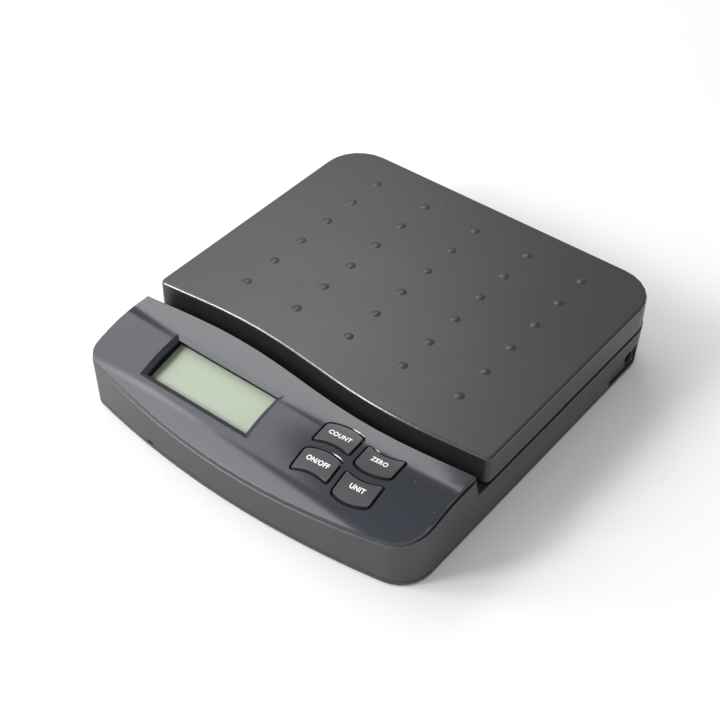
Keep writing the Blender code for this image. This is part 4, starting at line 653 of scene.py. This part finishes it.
# Keys: four bowed caps in semi-gloss black, each on a stem over its switch.
# Their white legends are printed on and ride with them.
KEY_BLACK = (0.034, 0.035, 0.038)
KEY_RISE = 0.0003
LEGEND_WHITE = (0.82, 0.82, 0.81)
LEGEND_LIFT = 0.00003
LEGEND_BODY = 0.00003
LEGEND_CAP_HEIGHT = 0.0022
LEGEND_BOLD_SHARE = 0.025
LEGEND_LETTER_SPACING = 1.08
LEGEND_SETBACK = 0.0005
LEGEND_LEAN = 0.06
LEGENDS = {"key_1": "COUNT", "key_2": "ZERO", "key_3": "ON/OFF", "key_4": "UNIT"}
key_plastic = moulded_plastic("key_plastic", KEY_BLACK, roughness=0.24, grain=2200, depth=0.06, dust=0.3)
legend_ink = moulded_plastic("legend_ink", LEGEND_WHITE, roughness=0.45, grain=3000, depth=0.1)
finish_nodes(key_plastic, *LEGENDS)
for key_name, words in LEGENDS.items():
    group_modifier(frame["nodes"][key_name], rolled_top, Rise=KEY_RISE)
    letters = bpy.data.curves.new(key_name + "_letters", "FONT")
    letters.body = words
    letters.align_x = "CENTER"
    letters.align_y = "CENTER"
    letters.size = LEGEND_CAP_HEIGHT
    letters.offset = LEGEND_CAP_HEIGHT * LEGEND_BOLD_SHARE
    letters.extrude = LEGEND_BODY
    letters.space_character = LEGEND_LETTER_SPACING
    drawn = new_object(key_name + "_letters", letters)
    legend_mesh = final_mesh(drawn)
    bpy.data.objects.remove(drawn, do_unlink=True)
    low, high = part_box(key_name)
    centre = (low + high) / 2
    heights = [vertex.co.y for vertex in legend_mesh.vertices]
    shrink = LEGEND_CAP_HEIGHT / (max(heights) - min(heights))
    for vertex in legend_mesh.vertices:
        x = centre.x + shrink * vertex.co.x
        y = centre.y + LEGEND_SETBACK + shrink * (vertex.co.y + LEGEND_LEAN * vertex.co.x)
        vertex.co = (x, y, panel_height(y) + KEY_RISE + LEGEND_LIFT + LEGEND_BODY + vertex.co.z)
    legend = add_piece(key_name + "_legend", legend_mesh, legend_ink)
    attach(legend, f"key_body_{key_name[-1]}")

# Weighing platform: a wide moulded pan with a waved front and thirty raised dots.
# Black plastic like the base's, a little smoother and with a closer grain.
# Its rim is rolled over and burnished, so it catches the light along the front.
PLATFORM_BLACK = (0.018, 0.0185, 0.020)
PLATFORM_SHEEN = 0.60
EDGE_ROUGHNESS = 0.20
EDGE_SHEEN = 1.0
EDGE_LEAN_STOPS = ((0.10, 0.0), (0.30, 1.0), (0.90, 1.0), (0.985, 0.0))
PLATFORM_TOP = 0.0395
PLATFORM_MIDDLE = Vector((0.0, 0.030, 0.0))
RIM_RADIUS = 0.0014
RIM_STEPS = 6
RIM_BAND = (0.000008, 0.00003)
RIM_POINT_SPACING = 0.0003
RIM_CUT_MARGIN = 0.0003
SHARPEST_MITRE = 0.4
FLAT_ANGLE = math.radians(0.3)
platform_plastic = moulded_plastic("platform_plastic", PLATFORM_BLACK, roughness=0.34, grain=3200,
                                   depth=0.08, dust=0.5, sheen=PLATFORM_SHEEN)
tree = platform_plastic.node_tree
shader = tree.nodes["Principled BSDF"]
grained = shader.inputs["Roughness"].links[0].from_socket
outside = tree.nodes.new("ShaderNodeNewGeometry")
upward = tree.nodes.new("ShaderNodeSeparateXYZ")
tree.links.new(outside.outputs["Normal"], upward.inputs["Vector"])
on_edge = tree.nodes.new("ShaderNodeValToRGB")
while len(on_edge.color_ramp.elements) < len(EDGE_LEAN_STOPS):
    on_edge.color_ramp.elements.new(0.5)
for stop, (lean, level) in zip(on_edge.color_ramp.elements, EDGE_LEAN_STOPS):
    stop.position = lean
    stop.color = (level, level, level, 1.0)
tree.links.new(upward.outputs["Z"], on_edge.inputs["Fac"])
burnished = tree.nodes.new("ShaderNodeMix")
burnished.inputs["B"].default_value = EDGE_ROUGHNESS
tree.links.new(on_edge.outputs["Color"], burnished.inputs["Factor"])
tree.links.new(grained, burnished.inputs["A"])
tree.links.new(burnished.outputs["Result"], shader.inputs["Roughness"])
tree.links.new(spread(tree, on_edge.outputs["Color"], PLATFORM_SHEEN, EDGE_SHEEN),
               shader.inputs["Specular IOR Level"])


def rim_loop(points, middle):
    """The rim's points, thinned out and set in order round a middle, anticlockwise from above."""
    ordered = sorted(points, key=lambda spot: math.atan2(spot.y - middle.y, spot.x - middle.x))
    loop = []
    for spot in ordered:
        if not loop or (spot - loop[-1]).length > RIM_POINT_SPACING:
            loop.append(spot)
    if (loop[0] - loop[-1]).length < RIM_POINT_SPACING:
        loop.pop()
    return loop


def rim_cutter(loop, radius, steps):
    """What a rolled rim takes off: the corner outside a quarter round, carried along the rim."""
    turns = [math.pi / 2 * step / steps for step in range(steps + 1)]
    quarter = [(radius * (1 - math.sin(turn)), radius * (1 - math.cos(turn))) for turn in turns]
    profile = [(-RIM_CUT_MARGIN, -RIM_CUT_MARGIN), (radius, -RIM_CUT_MARGIN), *quarter,
               (-RIM_CUT_MARGIN, radius)]
    up = Vector((0.0, 0.0, 1.0))
    points = []
    for number, spot in enumerate(loop):
        before = (spot - loop[number - 1]).normalized()
        after = (loop[(number + 1) % len(loop)] - spot).normalized()
        inward = up.cross((before + after).normalized()).normalized()
        mitre = 1 / max(inward.dot(up.cross(after).normalized()), SHARPEST_MITRE)
        points += [spot + inward * (across * mitre) - up * down for across, down in profile]
    size = len(profile)
    faces = []
    for number in range(len(loop)):
        here = number * size
        there = (number + 1) % len(loop) * size
        for edge in range(size):
            ahead = (edge + 1) % size
            faces.append((here + edge, there + edge, there + ahead, here + ahead))
    mesh = bpy.data.meshes.new("rim_cutter")
    mesh.from_pydata(points, [], faces)
    work = bmesh.new()
    work.from_mesh(mesh)
    bmesh.ops.recalc_face_normals(work, faces=work.faces)
    work.to_mesh(mesh)
    work.free()
    return new_object("rim_cutter", mesh)


# The solid's own edge round is very small, and the points at its foot give the rim's line.
rim_points = [Vector((vertex.co.x, vertex.co.y, PLATFORM_TOP))
              for vertex in frame["nodes"]["weighing_platform"].data.vertices
              if RIM_BAND[0] < PLATFORM_TOP - vertex.co.z < RIM_BAND[1]]
platform = add_piece("weighing_platform_rolled", welded_copy("weighing_platform"), platform_plastic)
boolean_cut(platform, rim_cutter(rim_loop(rim_points, PLATFORM_MIDDLE), RIM_RADIUS, RIM_STEPS))
work = bmesh.new()
work.from_mesh(platform.data)
bmesh.ops.remove_doubles(work, verts=work.verts, dist=WELD_DISTANCE)
bmesh.ops.dissolve_limit(work, angle_limit=FLAT_ANGLE, verts=work.verts, edges=work.edges)
work.to_mesh(platform.data)
work.free()
smooth_shading(platform, CREASE_ANGLE)
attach(platform, "platform_body")
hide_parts("weighing_platform")

# Studio: a pale paper floor, five soft lights from the rear left to the front and a surround
# that is brighter on their side. The camera stands where the photograph was taken from.
FLOOR_PALE = (0.88, 0.88, 0.88)
FLOOR_SIDE = 8.0
FLOOR_GLOW = 0.10
PAPER_ROUGHNESS = 0.9
PAPER_SHEEN = 0.2
SURROUND_LIGHT = 0.58
SURROUND_SWING = 0.34
BRIGHT_SIDE = (-0.81, -0.58, 0.0)
LIGHT_DISTANCE = 1.8
WATTS_PER_RADIANCE = 4
LOOK_AT = Vector((0.0, 0.0, 0.02))
LENS_MM = 73.28
SENSOR_MM = 36.0
CAMERA_AT = (0.29708, -0.39798, 0.47357)
CAMERA_TURN_DEGREES = (47.086, -0.860, 38.202)


def background_rays(tree):
    """1 for the rays that look at the background: the camera's, reflected and refracted ones."""
    path = tree.nodes.new("ShaderNodeLightPath")
    seen = path.outputs["Is Camera Ray"]
    for label in ("Is Glossy Ray", "Is Transmission Ray"):
        seen = link_pair(tree, "MAXIMUM", seen, path.outputs[label])
    return seen


work = bmesh.new()
bmesh.ops.create_grid(work, x_segments=1, y_segments=1, size=FLOOR_SIDE / 2)
floor_mesh = bpy.data.meshes.new("floor")
work.to_mesh(floor_mesh)
work.free()
floor = new_object("floor", floor_mesh)
floor_paper, tree, shader = new_material("floor_paper")
shader.inputs["Base Color"].default_value = (*FLOOR_PALE, 1.0)
shader.inputs["Roughness"].default_value = PAPER_ROUGHNESS
shader.inputs["Specular IOR Level"].default_value = PAPER_SHEEN
paper_white = tree.nodes.new("ShaderNodeEmission")
paper_look = tree.nodes.new("ShaderNodeMixShader")
glow = link_chain(tree, background_rays(tree), ("MULTIPLY", FLOOR_GLOW))
tree.links.new(glow, paper_look.inputs["Fac"])
tree.links.new(shader.outputs["BSDF"], paper_look.inputs[1])
tree.links.new(paper_white.outputs[0], paper_look.inputs[2])
tree.links.new(paper_look.outputs[0], tree.nodes["Material Output"].inputs["Surface"])
floor_mesh.materials.append(floor_paper)


def softbox(name, azimuth, elevation, wide, tall, radiance):
    """A soft light that faces the scale from a compass angle and a height angle, in degrees."""
    turn = math.radians(azimuth)
    lift = math.radians(elevation)
    towards = Vector((math.cos(turn) * math.cos(lift), math.sin(turn) * math.cos(lift), math.sin(lift)))
    lamp = bpy.data.lights.new(name, "AREA")
    lamp.shape = "RECTANGLE"
    lamp.size = wide
    lamp.size_y = tall
    lamp.energy = WATTS_PER_RADIANCE * radiance * wide * tall
    hung = new_object(name, lamp)
    hung.location = LOOK_AT + towards * LIGHT_DISTANCE
    hung.rotation_euler = (-towards).to_track_quat("-Z", "Y").to_euler()


softbox("rear_left_light", azimuth=134, elevation=46, wide=0.56, tall=0.50, radiance=3.2)
softbox("left_light", azimuth=182, elevation=56, wide=1.31, tall=0.46, radiance=2.1)
softbox("front_left_light", azimuth=226, elevation=43, wide=0.72, tall=0.60, radiance=3.3)
softbox("front_left_core", azimuth=215, elevation=27, wide=0.44, tall=0.66, radiance=8.5)
softbox("front_edge_light", azimuth=237, elevation=30, wide=0.36, tall=0.46, radiance=22.0)

world = bpy.data.worlds.new("studio")
bpy.context.scene.world = world
world.use_nodes = True
sky = world.node_tree
surround = sky.nodes["Background"]
surround.inputs["Color"].default_value = (1.0, 1.0, 1.0, 1.0)
heading = sky.nodes.new("ShaderNodeTexCoord")
bright_share = sky.nodes.new("ShaderNodeVectorMath")
bright_share.operation = "DOT_PRODUCT"
bright_share.inputs[1].default_value = BRIGHT_SIDE
sky.links.new(heading.outputs["Generated"], bright_share.inputs[0])
strength = link_chain(sky, bright_share.outputs["Value"], ("MULTIPLY", SURROUND_SWING),
                      ("ADD", SURROUND_LIGHT))
sky.links.new(strength, surround.inputs["Strength"])

lens = bpy.data.cameras.new("camera")
lens.lens = LENS_MM
lens.sensor_width = SENSOR_MM
camera = new_object("camera", lens)
camera.location = CAMERA_AT
camera.rotation_euler = [math.radians(angle) for angle in CAMERA_TURN_DEGREES]
bpy.context.scene.camera = camera
bpy.context.scene.view_settings.view_transform = "Standard"
